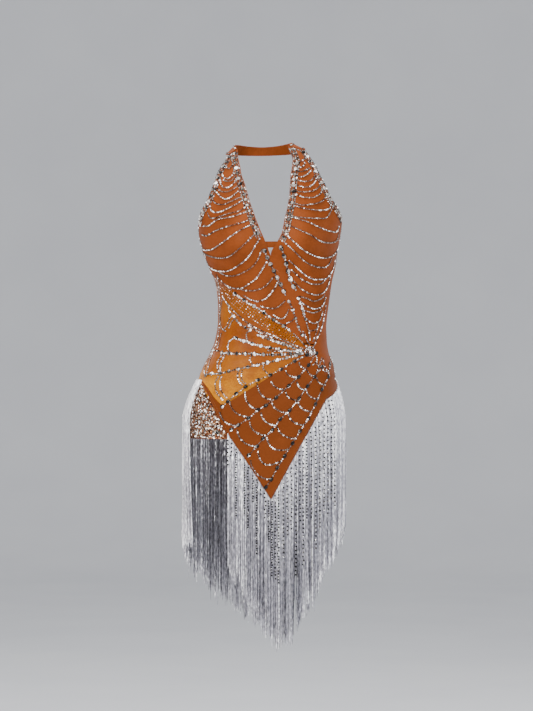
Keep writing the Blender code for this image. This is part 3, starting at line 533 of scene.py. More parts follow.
# Fringe
THREAD_PITCH, THREAD_WIDTH, THREAD_LAYERS, LAYER_STEP = 1.25, 1.45, 3, 1.1
THREAD_LEVELS = np.array(
    (0, 0.008, 0.03, 0.06, 0.1, 0.15, 0.22, 0.31, 0.41, 0.52, 0.63, 0.74, 0.84, 0.92, 0.99, 1)
)
THREAD_SWELL = np.array((0.1, 0.9, 1, 1, 1, 1, 1, 1, 1, 1, 1, 1, 0.95, 0.9, 0.7, 0.1))
LOCK_WIDTH = 5.2  # threads cling together in locks about this wide
STRIP_GAP, STRIP_HEIGHT = 1.3, 9.0
EDGE_STEPS, HIP_STEPS = 40, 8000  # steps along the hip panel's edges, and round the hips
LAP = 2  # how far the back strip laps over the cloth's hem
FULLEST_Z = -560  # fringe hangs straight down from here, the fullest part of the hips
BEND_UNDER = 30  # and at least this far under its strip
ROOT_OUT, HANG_LEFT, HANG_RIGHT = 2.9, 8.5, 13.0  # how far from the figure it starts, and hangs lower down
FRONT_TURN = 0.8  # the angle round from the front over which the threads come to stand out fully
FRONT_HEM_X = (-72, -40, 0, 30, 60, 100, 140, 165.2)
FRONT_HEM_Z = (-868, -925, -1000, -1040, -1015, -935, -855, -778)
BACK_HEM_SIDE_LEFT, BACK_HEM_CENTRE, BACK_HEM_SIDE_RIGHT = -778, -1012, -834
FRINGE_END_RIGHT = math.radians(-66)
LEVEL_FROM = 1.04  # quarter turns past the back's middle, from where the fringe ends level
# How far out of line the threads start, and end: a lock together, each by itself, and a few much shorter
ROOT_STRAY, END_CLEAR = 0.6, 0.5  # and no thread starts closer to the end of its strip
LOCK_RAGGED, THREAD_RAGGED, SHORT_RAGGED = 6, 6, 20
RAGGED_LIMITS = (-14, 44)
LAYER_SHORT = 3  # how much higher each layer ends than the one over it
# Strays: their share of the threads, how much lower they end, but not at the point, and how they curl
STRAY_SHARE, STRAY_REACH, STRAY_ABOVE_Z = 0.004, (8, 30), -960
STRAY_CURL, CURL_POWER = 16, 6
# How the threads hang. They start side by side, and what follows grows towards their ends.
HANG_POWER = 1.6
CLING = 0.3  # how much of the way to the middle of its lock a thread moves
LOCK_SWAY, LOCK_LIFT, LOCK_SHIFT = 1.6, 0.9, 0.3  # how far locks sway and stand out, and shift layer by layer
WAVE_TOP, WAVE_GROWTH, WAVE_TURNS, WAVE_LIFT = 0.35, 0.5, (6, 16), 0.5
END_LEAN, LEAN_WIDTH = 20.0, 34.0  # the threads by the opening swing towards it
# Tones: the usual one, how unlike each other locks and threads are, and how much lighter each layer further
# out is painted, a painted shade on the layers under it
TONE, LOCK_UNLIKE, THREAD_UNLIKE, LAYER_SHADE = 0.85, 0.1, 0.21, 0.1
LOCK_EDGE_SHADE = 0.26  # how much darker the edges of a lock are painted: painted shade between locks
LOWER_SHADE = 0.0016  # how much darker the fringe is painted a millimetre further down: painted shade
TIP_LIGHT, TIP_POWER = 0.4, 10  # how much lighter its cut ends are drawn
FRINGE_STONE = (4.1, 4.1)
FRINGE_RADIUS = 160  # to turn a length round the fringe into an angle
STONES_UNDER_EDGE, STONES_STAGGER, STONES_STRAY = 6, 0.37, 0.5
# Columns: x, lowest_z, step
STONE_COLUMNS = (
    (-70, -661, 8.3), (-63, -645, 8.3), (-54, -765, 5.2), (-45, -650, 8.3), (-37, -759, 5.2),
    (-30, -790, 6.2), (-20, -733, 5.2), (-13, -840, 5.2), (-4, -722, 8.3), (4, -765, 8.3),
    (12, -815, 5.2), (18, -884, 5.2), (25, -890, 7.4), (31, -902, 6.0), (41, -847, 8.3),
    (49, -800, 8.3), (57, -790, 8.3), (66, -882, 8.3), (74, -772, 8.3), (80, -867, 8.3),
    (87, -770, 6.2), (96, -770, 8.3), (104, -828, 8.3), (112, -790, 8.3), (120, -752, 8.3),
    (128, -760, 8.3), (135, -728, 8.3), (141, -745, 8.3),
)
STITCH, STITCH_GAP = (2.6, 0.6), 0.9  # a stitch's length and width, and the gap to the next
# Columns: along, rise, width. along and width as shares of the stitch's own
STITCH_SHAPE = np.array(((-0.5, -0.25, 0.3), (-0.3, 0.1, 1), (0.3, 0.1, 1), (0.5, -0.25, 0.3)))
HEM_ROWS = (4.6, 6.6)  # how far inside a hem its rows of stitches lie
BACK_LENGTH, NET_LINE_APART = 200, 34  # what a whole share of the back, and a line of the hip panel, measure
SEAM_ROWS, SEAM_REACH = (-2.2, 2.2), (-262, -478)  # rows to each side of a side seam, and where they run
BINDING_ROWS, BINDING_REACH, STITCH_TONES = (2.0, 6.4), (-500, -596), (0.2, 1)
WINDOW_SEAM, WINDOW_SEAM_REACH = 0.96, (0.1, 7.8)


# ---- The figure and what lies on it ----------------------------------------------------------------

def between(low, high, share):
    """The value that share of the way from low to high."""
    return low + (high - low) * share


def curve_through(table, at):
    """Rows between a table's rows, on a smooth curve through them. at counts its rows from 0."""
    table, at = np.asarray(table, float), np.asarray(at, float)
    last = len(table) - 1
    i = np.clip(np.floor(at).astype(int), 0, last - 1)
    t = (at - i)[..., None]
    before, start, end, after = (table[np.clip(i + step, 0, last)] for step in (-1, 0, 1, 2))
    bend = (2 * before - 5 * start + 4 * end - after) * t**2
    twist = (3 * start - before - 3 * end + after) * t**3
    return 0.5 * (2 * start + (end - before) * t + bend + twist)


def straight_through(table, at):
    """Rows between a table's rows, on straight lines from one to the next."""
    rows = np.arange(len(table))
    return np.stack([np.interp(at, rows, column) for column in np.asarray(table, float).T], axis=-1)


def unit(vectors):
    """The vectors made 1 long."""
    return vectors / np.linalg.norm(vectors, axis=-1, keepdims=True)


def squared(along, away):
    """Ways along the cloth made square to the ways out of it, and 1 long."""
    return unit(along - away * np.sum(along * away, axis=-1, keepdims=True))


def walked_along(points):
    """How far along a line each of its points is."""
    return np.append(0, np.cumsum(np.linalg.norm(np.diff(points, axis=0), axis=1)))


def section(z):
    """The figure's sections at some heights: centre_x, half_width, front_y, side_y and back_y."""
    z = np.clip(z, FIGURE[-1, 0], FIGURE[0, 0])
    at = np.interp(-z, -FIGURE[:, 0], np.arange(len(FIGURE)))
    return np.moveaxis(curve_through(FIGURE[:, 1:], at), -1, 0)


def angle_at(x, z):
    """The angle of a point of this x on the figure's front, up to a quarter turn to each side."""
    centre_x, half_width = section(z)[:2]
    share = np.clip((x - centre_x) / half_width, -1, 1)
    return np.copysign(np.arcsin(np.abs(share) ** (1 / ROUNDNESS)), share)


def skin(angle, z):
    """Points on the figure."""
    angle, z = np.broadcast_arrays(np.asarray(angle, float), np.asarray(z, float))
    centre_x, half_width, front_y, side_y, back_y = section(z)
    sine, cosine = np.sin(angle), np.cos(angle)
    x = centre_x + half_width * np.copysign(np.abs(sine) ** ROUNDNESS, sine)
    y = side_y + (np.where(cosine > 0, front_y, back_y) - side_y) * np.abs(cosine) ** ROUNDNESS
    fall = np.exp(-(((z - CUP_Z) / np.where(z > CUP_Z, CUP_ABOVE, CUP_BELOW)) ** 2))
    cups = sum(np.exp(-(((x - centre_x - side * CUP_SPACING) / CUP_WIDTH) ** 2)) for side in (-1, 1))
    y = y - CUP_DEPTH * fall * cups * np.clip(cosine, 0, 1)
    return np.stack([x, y, z], axis=-1)


def outward(angle, z):
    """Which way is out of the figure at some places on it."""
    around = skin(angle + SLOPE_TURN, z) - skin(angle - SLOPE_TURN, z)
    up = skin(angle, z + SLOPE_RISE) - skin(angle, z - SLOPE_RISE)
    up = np.where((z < HIP_Z + SLOPE_RISE)[..., None], UP, up)
    return unit(np.cross(around, up))


def crease(angle, z):
    """How far the creases in the stretched cloth lift it, or let it sink."""
    x = skin(angle, z)[..., 0]
    lift = np.zeros_like(x)
    for table, facing in ((CREASES_FRONT, 1), (CREASES_BACK, -1)):
        for x1, z1, x2, z2, height, width in table:
            run = math.hypot(x2 - x1, z2 - z1)
            along = ((x - x1) * (x2 - x1) + (z - z1) * (z2 - z1)) / run**2
            across = ((x - x1) * (z2 - z1) - (z - z1) * (x2 - x1)) / run
            fade = np.sin(HALF_TURN * np.clip(along, 0, 1))
            bowed = across + CREASE_BOW * run * fade
            lift += height * fade * np.exp(-((bowed / width) ** 2)) * (facing * np.cos(angle) > 0)
    return lift


def lie(angle, z, out=0.0):
    """Points that far out on the figure, creases and all, and the way out of it there."""
    away = outward(angle, z)
    return skin(angle, z) + away * (out + crease(angle, z))[..., None], away


def cup_place(table, side, at, share):
    """A place on a cup: at counts its rows, and share goes from the neckline to the outer edge."""
    rows = np.column_stack(
        [angle_at(table[:, 0], table[:, 1]), table[:, 1], angle_at(table[:, 2], table[:, 3]), table[:, 3:]]
    )
    inner, inner_z, outer, outer_z, sag = np.moveaxis(curve_through(rows, at), -1, 0)
    gap = side * SEAM / section(inner_z)[1]
    quarter = HALF_TURN / 2
    angle = between(np.clip(inner + gap, -quarter, quarter), np.clip(outer, -quarter, quarter) - gap, share)
    return angle, between(inner_z, outer_z, share) - sag * np.sin(HALF_TURN * share**SAG_LEAN)


def panel_place(table, at, share):
    """A place on a piece between two edges: at counts its stations, and share goes down."""
    top_x, top_z, bottom_x, bottom_z = table.T
    rows = [angle_at(top_x, top_z), top_z - SEAM, angle_at(bottom_x, bottom_z), bottom_z + SEAM]
    top, top_z, bottom, bottom_z = np.moveaxis(straight_through(np.column_stack(rows), at), -1, 0)
    return between(top, bottom, share), between(top_z, bottom_z, share)


def hip_place(line, share):
    """A place on the hip panel: line counts the lines of its net, and share goes from the side forwards."""
    side_z, bend_x, bend_z, front_x, front_z = np.moveaxis(curve_through(HIP_PANEL, line), -1, 0)
    side_angle = HALF_TURN / 2 - SEAM / section(side_z)[1]
    near, far = share / BEND_SHARE, (share - BEND_SHARE) / (1 - BEND_SHARE)
    z = np.where(near < 1, between(side_z, bend_z, near), between(bend_z, front_z, far))
    ahead = angle_at(between(bend_x, front_x, np.maximum(far, 0)), z)
    return np.where(near < 1, between(side_angle, angle_at(bend_x, bend_z), near), ahead), z


def side_panel_place(u, v):
    """A place on the plain panel under the left arm, down its front seam and round to the side seam."""
    rows = np.linspace(SIDE_PANEL_FROM, len(CUP_LEFT) - 1, SIDE_PANEL_STEPS)
    front, height = cup_place(CUP_LEFT, 1, rows, np.ones_like(rows))
    foot_x, foot_z = np.array(SIDE_PANEL_FOOT, float).T
    seam = np.column_stack([np.append(front, angle_at(foot_x, foot_z)), np.append(height, foot_z + SEAM)])
    angle, z = np.moveaxis(straight_through(seam, v * (len(seam) - 1)), -1, 0)
    gap = 2 * SEAM / section(z)[1]
    return between(angle + gap, HALF_TURN / 2 - gap / 2, u), z


def back_place(u, v):
    """A place on the back: u goes round it from the left side seam, and v down from the scoop."""
    scoop = np.sin(HALF_TURN * u) ** SCOOP_ROUNDNESS
    top = between(BACK_TOP_SIDE, BACK_TOP_CENTRE, scoop)
    return around_back(u), between(top, BACK_HEM + SEAM, v)


def around_back(u):
    """The angle that share of the way round the back, from the left side seam to the right one."""
    gap = SEAM / section(BACK_HEM)[1]
    return between(HALF_TURN / 2 + gap, 1.5 * HALF_TURN - gap, u)


# ---- Materials -------------------------------------------------------------------------------------

def linear(hex_colour, alpha=1.0):
    """An sRGB hex colour as the linear colour that a shader takes."""
    parts = [int(hex_colour[i : i + 2], 16) / 255 for i in (0, 2, 4)]
    return (*(part / 12.92 if part <= 0.04045 else ((part + 0.055) / 1.055) ** 2.4 for part in parts), alpha)


def set_inputs(tree, node, inputs):
    """Links each socket among the inputs, and sets each value, by the input's name or number."""
    for name, value in dict(inputs).items():
        if isinstance(value, bpy.types.NodeSocket):
            tree.links.new(value, node.inputs[name])
        else:
            node.inputs[name].default_value = value


def add_node(tree, kind, inputs=(), stops=(), **settings):
    """Adds a node with its settings and inputs. stops holds a position and an sRGB colour for each stop of a
    ramp."""
    made = tree.nodes.new(kind)
    for name, value in settings.items():
        setattr(made, name, value)
    for i, (position, colour) in enumerate(stops):
        elements = made.color_ramp.elements
        stop = elements[i] if i < len(elements) else elements.new(position)
        stop.position, stop.color = position, linear(colour)
    set_inputs(tree, made, inputs)
    return made


def new_material(name, **constants):
    """A material, its node tree and its shader. constants go straight on the shader's sockets."""
    made = bpy.data.materials.new(name)
    made.use_nodes = True
    shader = made.node_tree.nodes["Principled BSDF"]
    set_inputs(made.node_tree, shader, {name.replace("_", " "): value for name, value in constants.items()})
    return made, made.node_tree, shader


# Patterns of the materials, in metres
DYE_PATCH, FLECK, FLECK_SHARE = 0.05, 0.0035, 0.25
HIP_TONE_FROM, HIP_TONE_BELOW = -0.425, -0.485  # the heights over which the cloth's tone changes towards the hips: paler where they pull the mesh tight, and a painted shade that deepens the jersey
# A band is a twentieth of a wave texture's unit at scale 1. A course is a little lower than a wale is wide.
WALE_BANDS, COURSE_BANDS, WANDER = 20, 16, 0.3
RUBBED_PATCH, FOIL_LENGTH, PAPER_TOOTH = 0.004, 0.003, 0.4


def knitted(name, colours, wale, relief, pulled_or_shaded, **constants):
    """A stretch cloth with its wales, which run down the body, and its courses across them. wale is how
    wide one is, and relief how high. The dye is a little uneven. The amount that it is pulled or shaded makes
    it paler towards the hips, where they pull it tight, or with a minus deeper there, a painted shade for the
    less lit hips."""
    made, tree, shader = new_material(name, **constants)
    spot = add_node(tree, "ShaderNodeTexCoord")
    flat = add_node(tree, "ShaderNodeUVMap", uv_map="cloth").outputs["UV"]
    dye = add_node(
        tree, "ShaderNodeTexNoise", {"Vector": spot.outputs["Object"], "Scale": 1 / DYE_PATCH, "Detail": 4.0}
    )
    fleck = add_node(tree, "ShaderNodeTexNoise", {"Vector": flat, "Scale": 1 / FLECK, "Detail": 2.0})
    shade = add_node(
        tree,
        "ShaderNodeMix",
        {"Factor": FLECK_SHARE, "A": dye.outputs["Fac"], "B": fleck.outputs["Fac"]},
        data_type="FLOAT",
    )
    height = add_node(tree, "ShaderNodeSeparateXYZ", {"Vector": spot.outputs["Object"]}).outputs["Z"]
    pull_or_shade = add_node(
        tree,
        "ShaderNodeMapRange",
        {"Value": height, "From Min": HIP_TONE_FROM, "From Max": HIP_TONE_BELOW, "To Max": pulled_or_shaded},
    )
    tone = add_node(tree, "ShaderNodeMath", {0: shade.outputs[0], 1: pull_or_shade.outputs["Result"]}, operation="ADD")
    dyed = add_node(tree, "ShaderNodeValToRGB", {"Fac": tone.outputs["Value"]}, colours).outputs["Color"]
    wales, courses = (
        add_node(
            tree,
            "ShaderNodeTexWave",
            {"Vector": flat, "Scale": 1 / (bands * wale), "Distortion": WANDER},
            bands_direction=way,
        )
        for bands, way in ((WALE_BANDS, "X"), (COURSE_BANDS, "Y"))
    )
    loops = add_node(
        tree, "ShaderNodeMath", {0: wales.outputs["Fac"], 1: courses.outputs["Fac"]}, operation="MULTIPLY"
    )
    bump = add_node(
        tree, "ShaderNodeBump", {"Strength": 0.5, "Distance": relief, "Height": loops.outputs["Value"]}
    )
    set_inputs(tree, shader, {"Base Color": dyed, "Normal": bump.outputs["Normal"]})
    return made


def foiled_glass():
    """Machine-cut glass with a foil back. Each facet is painted light or dark, warm-tinted, by its facet
    shade: a painted reflection, so that a stone shows both.
    """
    made, tree, shader = new_material(
        "foiled_cut_glass", Metallic=0.4, Roughness=0.13, IOR=1.6, Specular_IOR_Level=0.3, Coat_Weight=0.3,
        Coat_Roughness=0.03, Emission_Strength=4.0,
    )
    facet = add_node(tree, "ShaderNodeAttribute", attribute_name="facet").outputs["Fac"]
    glass = add_node(
        tree,
        "ShaderNodeValToRGB",
        {"Fac": facet},
        ((0.0, "030303"), (0.28, "1E1B18"), (0.45, "80766C"), (0.68, "D8D0C8"), (0.85, "FFFEFA")),
    )
    # A few soft lamps can't light every stone, so the brightest facets glow a little as well.
    painted_glow = add_node(tree, "ShaderNodeValToRGB", {"Fac": facet}, ((0.78, "000000"), (0.97, "FFFFFF")))
    colours = {"Base Color": glass.outputs["Color"], "Emission Color": painted_glow.outputs["Color"]}
    set_inputs(tree, shader, colours)
    return made


def cup_metal():
    """Nickel-plated brass of the little cups that hold the stones, brighter where it is rubbed. Its grey is
    drawn darker than the metal, a painted shade that outlines each stone like the shadow under a chain.
    """
    made, tree, shader = new_material("nickel_plated_brass", Metallic=1.0)
    spot = add_node(tree, "ShaderNodeTexCoord").outputs["Object"]
    rub = add_node(
        tree, "ShaderNodeTexNoise", {"Vector": spot, "Scale": 1 / RUBBED_PATCH, "Detail": 2.0}
    ).outputs["Fac"]
    # Painted shade: the grey is deepened so that the cups outline the stones.
    grey_and_shade = add_node(tree, "ShaderNodeValToRGB", {"Fac": rub}, ((0.3, "3E3A36"), (0.7, "8A857E")))
    rough = add_node(tree, "ShaderNodeMapRange", {"Value": rub, "To Min": 0.2, "To Max": 0.42})
    set_inputs(tree, shader, {"Base Color": grey_and_shade.outputs["Color"], "Roughness": rough.outputs["Result"]})
    return made


def sequin_film():
    """Metallised polyester film, punched into sequins of silver, champagne and copper: small mirrors."""
    made, tree, shader = new_material(
        "metallised_polyester_sequin", Metallic=0.75, Roughness=0.2, Coat_Weight=0.4, Emission_Strength=2.0
    )
    tone = add_node(tree, "ShaderNodeAttribute", attribute_name="facet").outputs["Fac"]
    film = add_node(
        tree,
        "ShaderNodeValToRGB",
        {"Fac": tone},
        ((0.0, "2C160A"), (0.22, "7C4222"), (0.45, "AE7042"), (0.7, "D8B088"), (1.0, "FFF6EA")),
    )
    # The lightest sequins are painted to glow a little: a painted highlight.
    painted_glow = add_node(tree, "ShaderNodeValToRGB", {"Fac": tone}, ((0.86, "000000"), (1.0, "FFFFFF")))
    colours = {"Base Color": film.outputs["Color"], "Emission Color": painted_glow.outputs["Color"]}
    set_inputs(tree, shader, colours)
    return made


def metallised_yarn():
    """Silver foil twisted with white viscose: a soft grey-white thread that glints where foil comes up. Its
    tone carries painted shade, and its brightest glints are painted to glow.
    """
    made, tree, shader = new_material(
        "metallised_viscose_yarn", Metallic=0.3, Roughness=0.42, Sheen_Weight=0.1, Sheen_Roughness=0.4,
        Emission_Strength=1.6,
    )
    tone = add_node(tree, "ShaderNodeAttribute", attribute_name="facet").outputs["Fac"]
    spot = add_node(tree, "ShaderNodeTexCoord").outputs["Object"]
    drawn = add_node(tree, "ShaderNodeMapping", {"Vector": spot, "Scale": (1.0, 1.0, 0.4)}).outputs["Vector"]
    # The foil comes up every 3 mm or so, drawn coarser than the real twist of 1 mm so that it shows.
    twist = add_node(
        tree, "ShaderNodeTexNoise", {"Vector": drawn, "Scale": 1 / FOIL_LENGTH, "Detail": 2.0}
    ).outputs["Fac"]
    glint = add_node(tree, "ShaderNodeMapRange", {"Value": twist, "From Min": 0.3, "From Max": 0.7})
    shade = add_node(
        tree, "ShaderNodeMix", {"Factor": 0.35, "A": tone, "B": glint.outputs["Result"]}, data_type="FLOAT"
    ).outputs[0]
    yarn = add_node(
        tree,
        "ShaderNodeValToRGB",
        {"Fac": shade},
        ((0.12, "3C3B40"), (0.32, "787780"), (0.52, "B4B2BC"), (0.7, "E4E2EA"), (0.86, "FFFFFF")),
    )
    # The brightest glints glow: a painted highlight.
    painted_glints = add_node(tree, "ShaderNodeValToRGB", {"Fac": shade}, ((0.74, "000000"), (1.0, "FFFFFF")))
    colours = {"Base Color": yarn.outputs["Color"], "Emission Color": painted_glints.outputs["Color"]}
    set_inputs(tree, shader, colours)
    return made


def sewing_thread():
    """Spun polyester thread, a shade lighter than the cloth, so that stitches read as fine dashes."""
    made, tree, shader = new_material("spun_polyester_thread", Roughness=0.6, Sheen_Weight=0.2)
    tone = add_node(tree, "ShaderNodeAttribute", attribute_name="facet").outputs["Fac"]
    spun = add_node(tree, "ShaderNodeValToRGB", {"Fac": tone}, ((0.0, "6A3010"), (1.0, "94501E")))
    set_inputs(tree, shader, {"Base Color": spun.outputs["Color"]})
    return made


def paper_sweep():
    """Pale studio paper with a faint tooth."""
    made, tree, shader = new_material("pale_studio_paper", Roughness=0.9)
    spot = add_node(tree, "ShaderNodeTexCoord").outputs["Object"]
    tooth = add_node(
        tree, "ShaderNodeTexNoise", {"Vector": spot, "Scale": 1 / PAPER_TOOTH, "Detail": 3.0}
    ).outputs["Fac"]
    paper = add_node(tree, "ShaderNodeValToRGB", {"Fac": tooth}, ((0.3, "D6D7DA"), (0.7, "DBDCDE")))
    set_inputs(tree, shader, {"Base Color": paper.outputs["Color"]})
    return made


# Brushed nylon and elastane jersey: matt rust brown with a soft bloom and fine wales
JERSEY = knitted(
    "nylon_elastane_jersey",
    ((0.3, "743608"), (0.5, "863F11"), (0.7, "914616")),
    wale=0.0016,
    relief=0.00025,
    # A minus pull paints the jersey deeper towards the hips: painted shade.
    pulled_or_shaded=-0.3,
    Roughness=0.62,
    Specular_IOR_Level=0.15,
    Sheen_Weight=0.02,
    Sheen_Roughness=0.45,
    Sheen_Tint=linear("E8B08A"),
)
# Tulle: a fine gold knit that bridges the gap under the right cup
GOLD_TULLE = knitted(
    "nylon_tulle",
    ((0.3, "803C00"), (0.5, "944C00"), (0.7, "A45C04")),
    wale=0.0022,
    relief=0.0004,
    pulled_or_shaded=0.0,
    Roughness=0.45,
    Specular_IOR_Level=0.1,
    Alpha=0.95,
)
# Power mesh: an open honey-coloured knit, thin enough to let what is behind it show a little
POWER_MESH = knitted(
    "nylon_power_mesh",
    ((0.3, "7C3A08"), (0.5, "924906"), (0.7, "A65C08"), (0.95, "E0920C")),
    wale=0.0022,
    relief=0.0004,
    pulled_or_shaded=0.32,
    Roughness=0.45,
    Specular_IOR_Level=0.15,
    Alpha=0.93,
    Sheen_Weight=0.05,
    Sheen_Roughness=0.35,
)
GLASS, CUP_METAL, SEQUIN_FILM = foiled_glass(), cup_metal(), sequin_film()
YARN, SEWING_THREAD = metallised_yarn(), sewing_thread()


# ---- Making pieces ---------------------------------------------------------------------------------

def finish_piece(name, mesh, looks, stands_for=()):
    """Adds a mesh as a piece of the dress with its materials, in place of those CAD nodes."""
    for look in looks:
        mesh.materials.append(look)
    made = bpy.data.objects.new(name, mesh)
    bpy.context.scene.collection.objects.link(made)
    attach(made, "root")
    if stands_for:
        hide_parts(*stands_for)
    return made


def edge_distance(points, on_edge):
    """How far each point is from the nearest one that is on an edge."""
    tree = KDTree(int(on_edge.sum()))
    for i, point in enumerate(points[on_edge]):
        tree.insert(point, i)
    tree.balance()
    return np.array([tree.find(point)[2] for point in points])


def cloth(name, cells, place, layer, look, stands_for, hems=""):
    """A thin closed shell of cloth, from a grid of cells. place(u, v) gives its points, the way out at
    each, and how far round and down each lies. hems has a letter for each side turned in: l, r, t or b."""
    bm = bmesh.new()
    bmesh.ops.create_grid(bm, x_segments=cells[0], y_segments=cells[1], size=0.5)
    grown = bmesh.ops.extrude_face_region(bm, geom=bm.faces[:], use_keep_orig=True)
    corners = [part for part in grown["geom"] if isinstance(part, bmesh.types.BMVert)]
    bmesh.ops.translate(bm, verts=corners, vec=(0, 0, 1))
    mesh = bpy.data.meshes.new(name)
    bm.to_mesh(mesh)
    bm.free()
    flat = np.empty(3 * len(mesh.vertices))
    mesh.vertices.foreach_get("co", flat)
    u, v, outside = (flat.reshape(-1, 3) + (0.5, 0.5, 0)).T
    points, away, cut = place(u, v)
    thick = np.full(len(u), layer[1] - layer[0])
    if hems:
        tests = {"l": u < NEAR, "r": u > 1 - NEAR, "t": v < NEAR, "b": v > 1 - NEAR}
        distance = edge_distance(points, np.any([tests[side] for side in hems], axis=0))
        thick += HEM_RISE * np.clip((HEM_WIDTH - distance) / HEM_STEP, 0, 1)
    points = points + away * (layer[0] + outside * thick)[:, None]
    mesh.vertices.foreach_set("co", (points * MM).ravel())
    corner_of = np.empty(len(mesh.loops), int)
    mesh.loops.foreach_get("vertex_index", corner_of)
    mesh.uv_layers.new(name="cloth").data.foreach_set("uv", (cut * MM)[corner_of].ravel())
    bm = bmesh.new()
    bm.from_mesh(mesh)
    bmesh.ops.recalc_face_normals(bm, faces=bm.faces[:])
    if bm.calc_volume(signed=True) < 0:
        bmesh.ops.reverse_faces(bm, faces=bm.faces[:])
    bm.to_mesh(mesh)
    bm.free()
    mesh.shade_smooth()
    mesh.set_sharp_from_angle(angle=math.radians(SHARP))
    return finish_piece(name, mesh, [look], stands_for)


def worn(pattern):
    """A place for cloth() from one that gives an angle and a height."""
    def place(u, v):
        angle, z = pattern(u, v)
        points, away = lie(angle, z)
        return points, away, np.stack([angle * CUT_RADIUS, z], axis=-1)
    return place


def with_neighbours(table, share):
    """Rows a share of the way down a table, and those a tenth of a row ahead and behind."""
    last = len(table) - 1
    return (curve_through(table, np.clip(share * last + step, 0, last)) for step in (0, 0.1, -0.1))


def neck_band_place(u, v):
    """A place on the band round the nape, softly gathered: u goes along it, and v down its width."""
    row, ahead, behind = with_neighbours(NECK_BAND, u)
    upper, lower = row[:, :3], row[:, 3:]
    along = (ahead - behind)[:, :3] + (ahead - behind)[:, 3:]
    away = unit(np.cross(upper - lower, along))
    (wide, wide_turns), (fine, fine_turns) = GATHERS
    gathers = wide * np.sin(u * wide_turns) * np.sin(HALF_TURN * v) + fine * np.sin(u * fine_turns + 2 * v)
    points = between(upper, lower, v[:, None]) + away * gathers[:, None]
    return points, away, np.stack([u, v], axis=-1) * BAND_CUT


def gusset_place(u, v):
    """A place on the gusset: u goes across it, and v from the front to the back."""
    row, ahead, behind = with_neighbours(GUSSET, v)
    along = unit(np.column_stack([np.zeros(len(u)), (ahead - behind)[:, :2]]))
    away = np.column_stack([np.zeros(len(u)), along[:, 2], -along[:, 1]])
    points = np.column_stack([FIGURE[-1, 1] + row[:, 2] * (2 * u - 1), row[:, 0], row[:, 1]])
    return points, away, np.stack([u, v], axis=-1) * GUSSET_CUT


def join_copies(name, corners, faces, facets, looks, stands_for=(), kinds=None, smooth=False):
    """One mesh of many small things. corners holds the points of each thing, and faces one thing's faces.
    facets is a shade for each face of each thing."""
    count, each = corners.shape[:2]
    joined = (np.arange(count)[:, None, None] * each + faces[None]).reshape(-1, faces.shape[-1])
    mesh = bpy.data.meshes.new(name)
    mesh.from_pydata((corners.reshape(-1, 3) * MM).tolist(), [], joined.tolist())
    mesh.attributes.new("facet", "FLOAT", "FACE").data.foreach_set("value", facets.ravel().astype(np.float32))
    if kinds is not None:
        mesh.polygons.foreach_set("material_index", np.tile(kinds, count))
    if smooth:
        mesh.shade_smooth()
    return finish_piece(name, mesh, looks, stands_for)


def cut_stone(sides, rings):
    """A stone in its cup, 1 across: its corners and triangles, each triangle's facet, which way each facet
    looks, and which triangles are cup. rings gives a radius, a height and a turn in degrees for each step,
    lip first."""
    bm = bmesh.new()
    bmesh.ops.create_circle(bm, cap_ends=True, segments=sides, radius=rings[0][0])
    bm.faces.ensure_lookup_table()
    top, radius = bm.faces[0], rings[0][0]
    for next_radius, height, turn in rings:
        grown = bmesh.ops.extrude_face_region(bm, geom=[top])["geom"]
        top = next(part for part in grown if isinstance(part, bmesh.types.BMFace))
        ring = [part for part in grown if isinstance(part, bmesh.types.BMVert)]
        share, low = next_radius / radius, ring[0].co.z
        bmesh.ops.scale(bm, verts=ring, vec=(share, share, 1))
        bmesh.ops.translate(bm, verts=ring, vec=(0, 0, height - low))
        bmesh.ops.rotate(bm, verts=ring, matrix=Matrix.Rotation(math.radians(turn), 3, "Z"))
        radius = next_radius
    bmesh.ops.recalc_face_normals(bm, faces=bm.faces[:])
    bmesh.ops.triangulate(bm, faces=bm.faces[:])
    bm.normal_update()
    bm.verts.index_update()
    corners = np.array([corner.co for corner in bm.verts])
    triangles = np.array([[corner.index for corner in face.verts] for face in bm.faces])
    normals = np.array([face.normal for face in bm.faces])
    bm.free()
    ways, facet_of = np.unique(normals.round(2), axis=0, return_inverse=True)
    cup = corners[triangles][:, :, 2].max(axis=1) < rings[0][1] + NEAR
    return corners, triangles, facet_of.ravel(), ways, cup


CUTS = {
    "small": cut_stone(6, ((0.5, 0.2, 0), (0.29, 0.44, 0))),
    "large": cut_stone(8, ((0.5, 0.14, 0), (0.42, 0.28, 22.5), (0.15, 0.42, 22.5))),
}


def along_line(line, beads, gap=BEAD_GAP):
    """Where beads fall in a row on a line of angles and heights: the angle and height of each, and of the
    places just before and after it, and the beads."""
    angle, z = curve_through(line, np.linspace(0, len(line) - 1, LINE_STEPS * len(line))).T
    walked = walked_along(skin(angle, z))
    beads = np.resize(np.array(beads, float), (MOST_BEADS, 2))
    middle = np.cumsum(beads[:, 0] + gap) - beads[:, 0] / 2 - gap
    count = max(1, int(np.sum(middle + beads[:, 0] / 2 <= walked[-1])))
    middle, beads = middle[:count], beads[:count]
    middle *= walked[-1] / (middle[-1] + beads[-1, 0] / 2)
    spots = ([np.interp(middle + step, walked, row) for row in (angle, z)] for step in (0, -1, 1))
    return *spots, beads


def stones_at(at, away, beads, along=None):
    """Stones for set_stones: the place, the way out, the way along, the length and the width of each. They
    lie level unless along says how."""
    along = unit(np.cross(away, UP)) if along is None else along
    return np.hstack([at, away, along, np.broadcast_to(beads, (len(at), 2))])


def stone_row(line, beads, out, shift=0.0, slack=0.0):
    """Stones in a row on the figure, shift to one side of the line. The row's middle hangs slack clear of
    the cloth."""
    here, behind, ahead, beads = along_line(line, beads)
    at, away = lie(*here, out + slack * np.sin(HALF_TURN * np.linspace(0, 1, len(beads))))
    along = squared(skin(*ahead) - skin(*behind), away)
    return stones_at(at + np.cross(away, along) * shift, away, beads, along)


def flat_line(points):
    """A line of angles and heights from x and z on the front."""
    x, z = np.array(points, float).T
    return np.column_stack([angle_at(x, z), z])


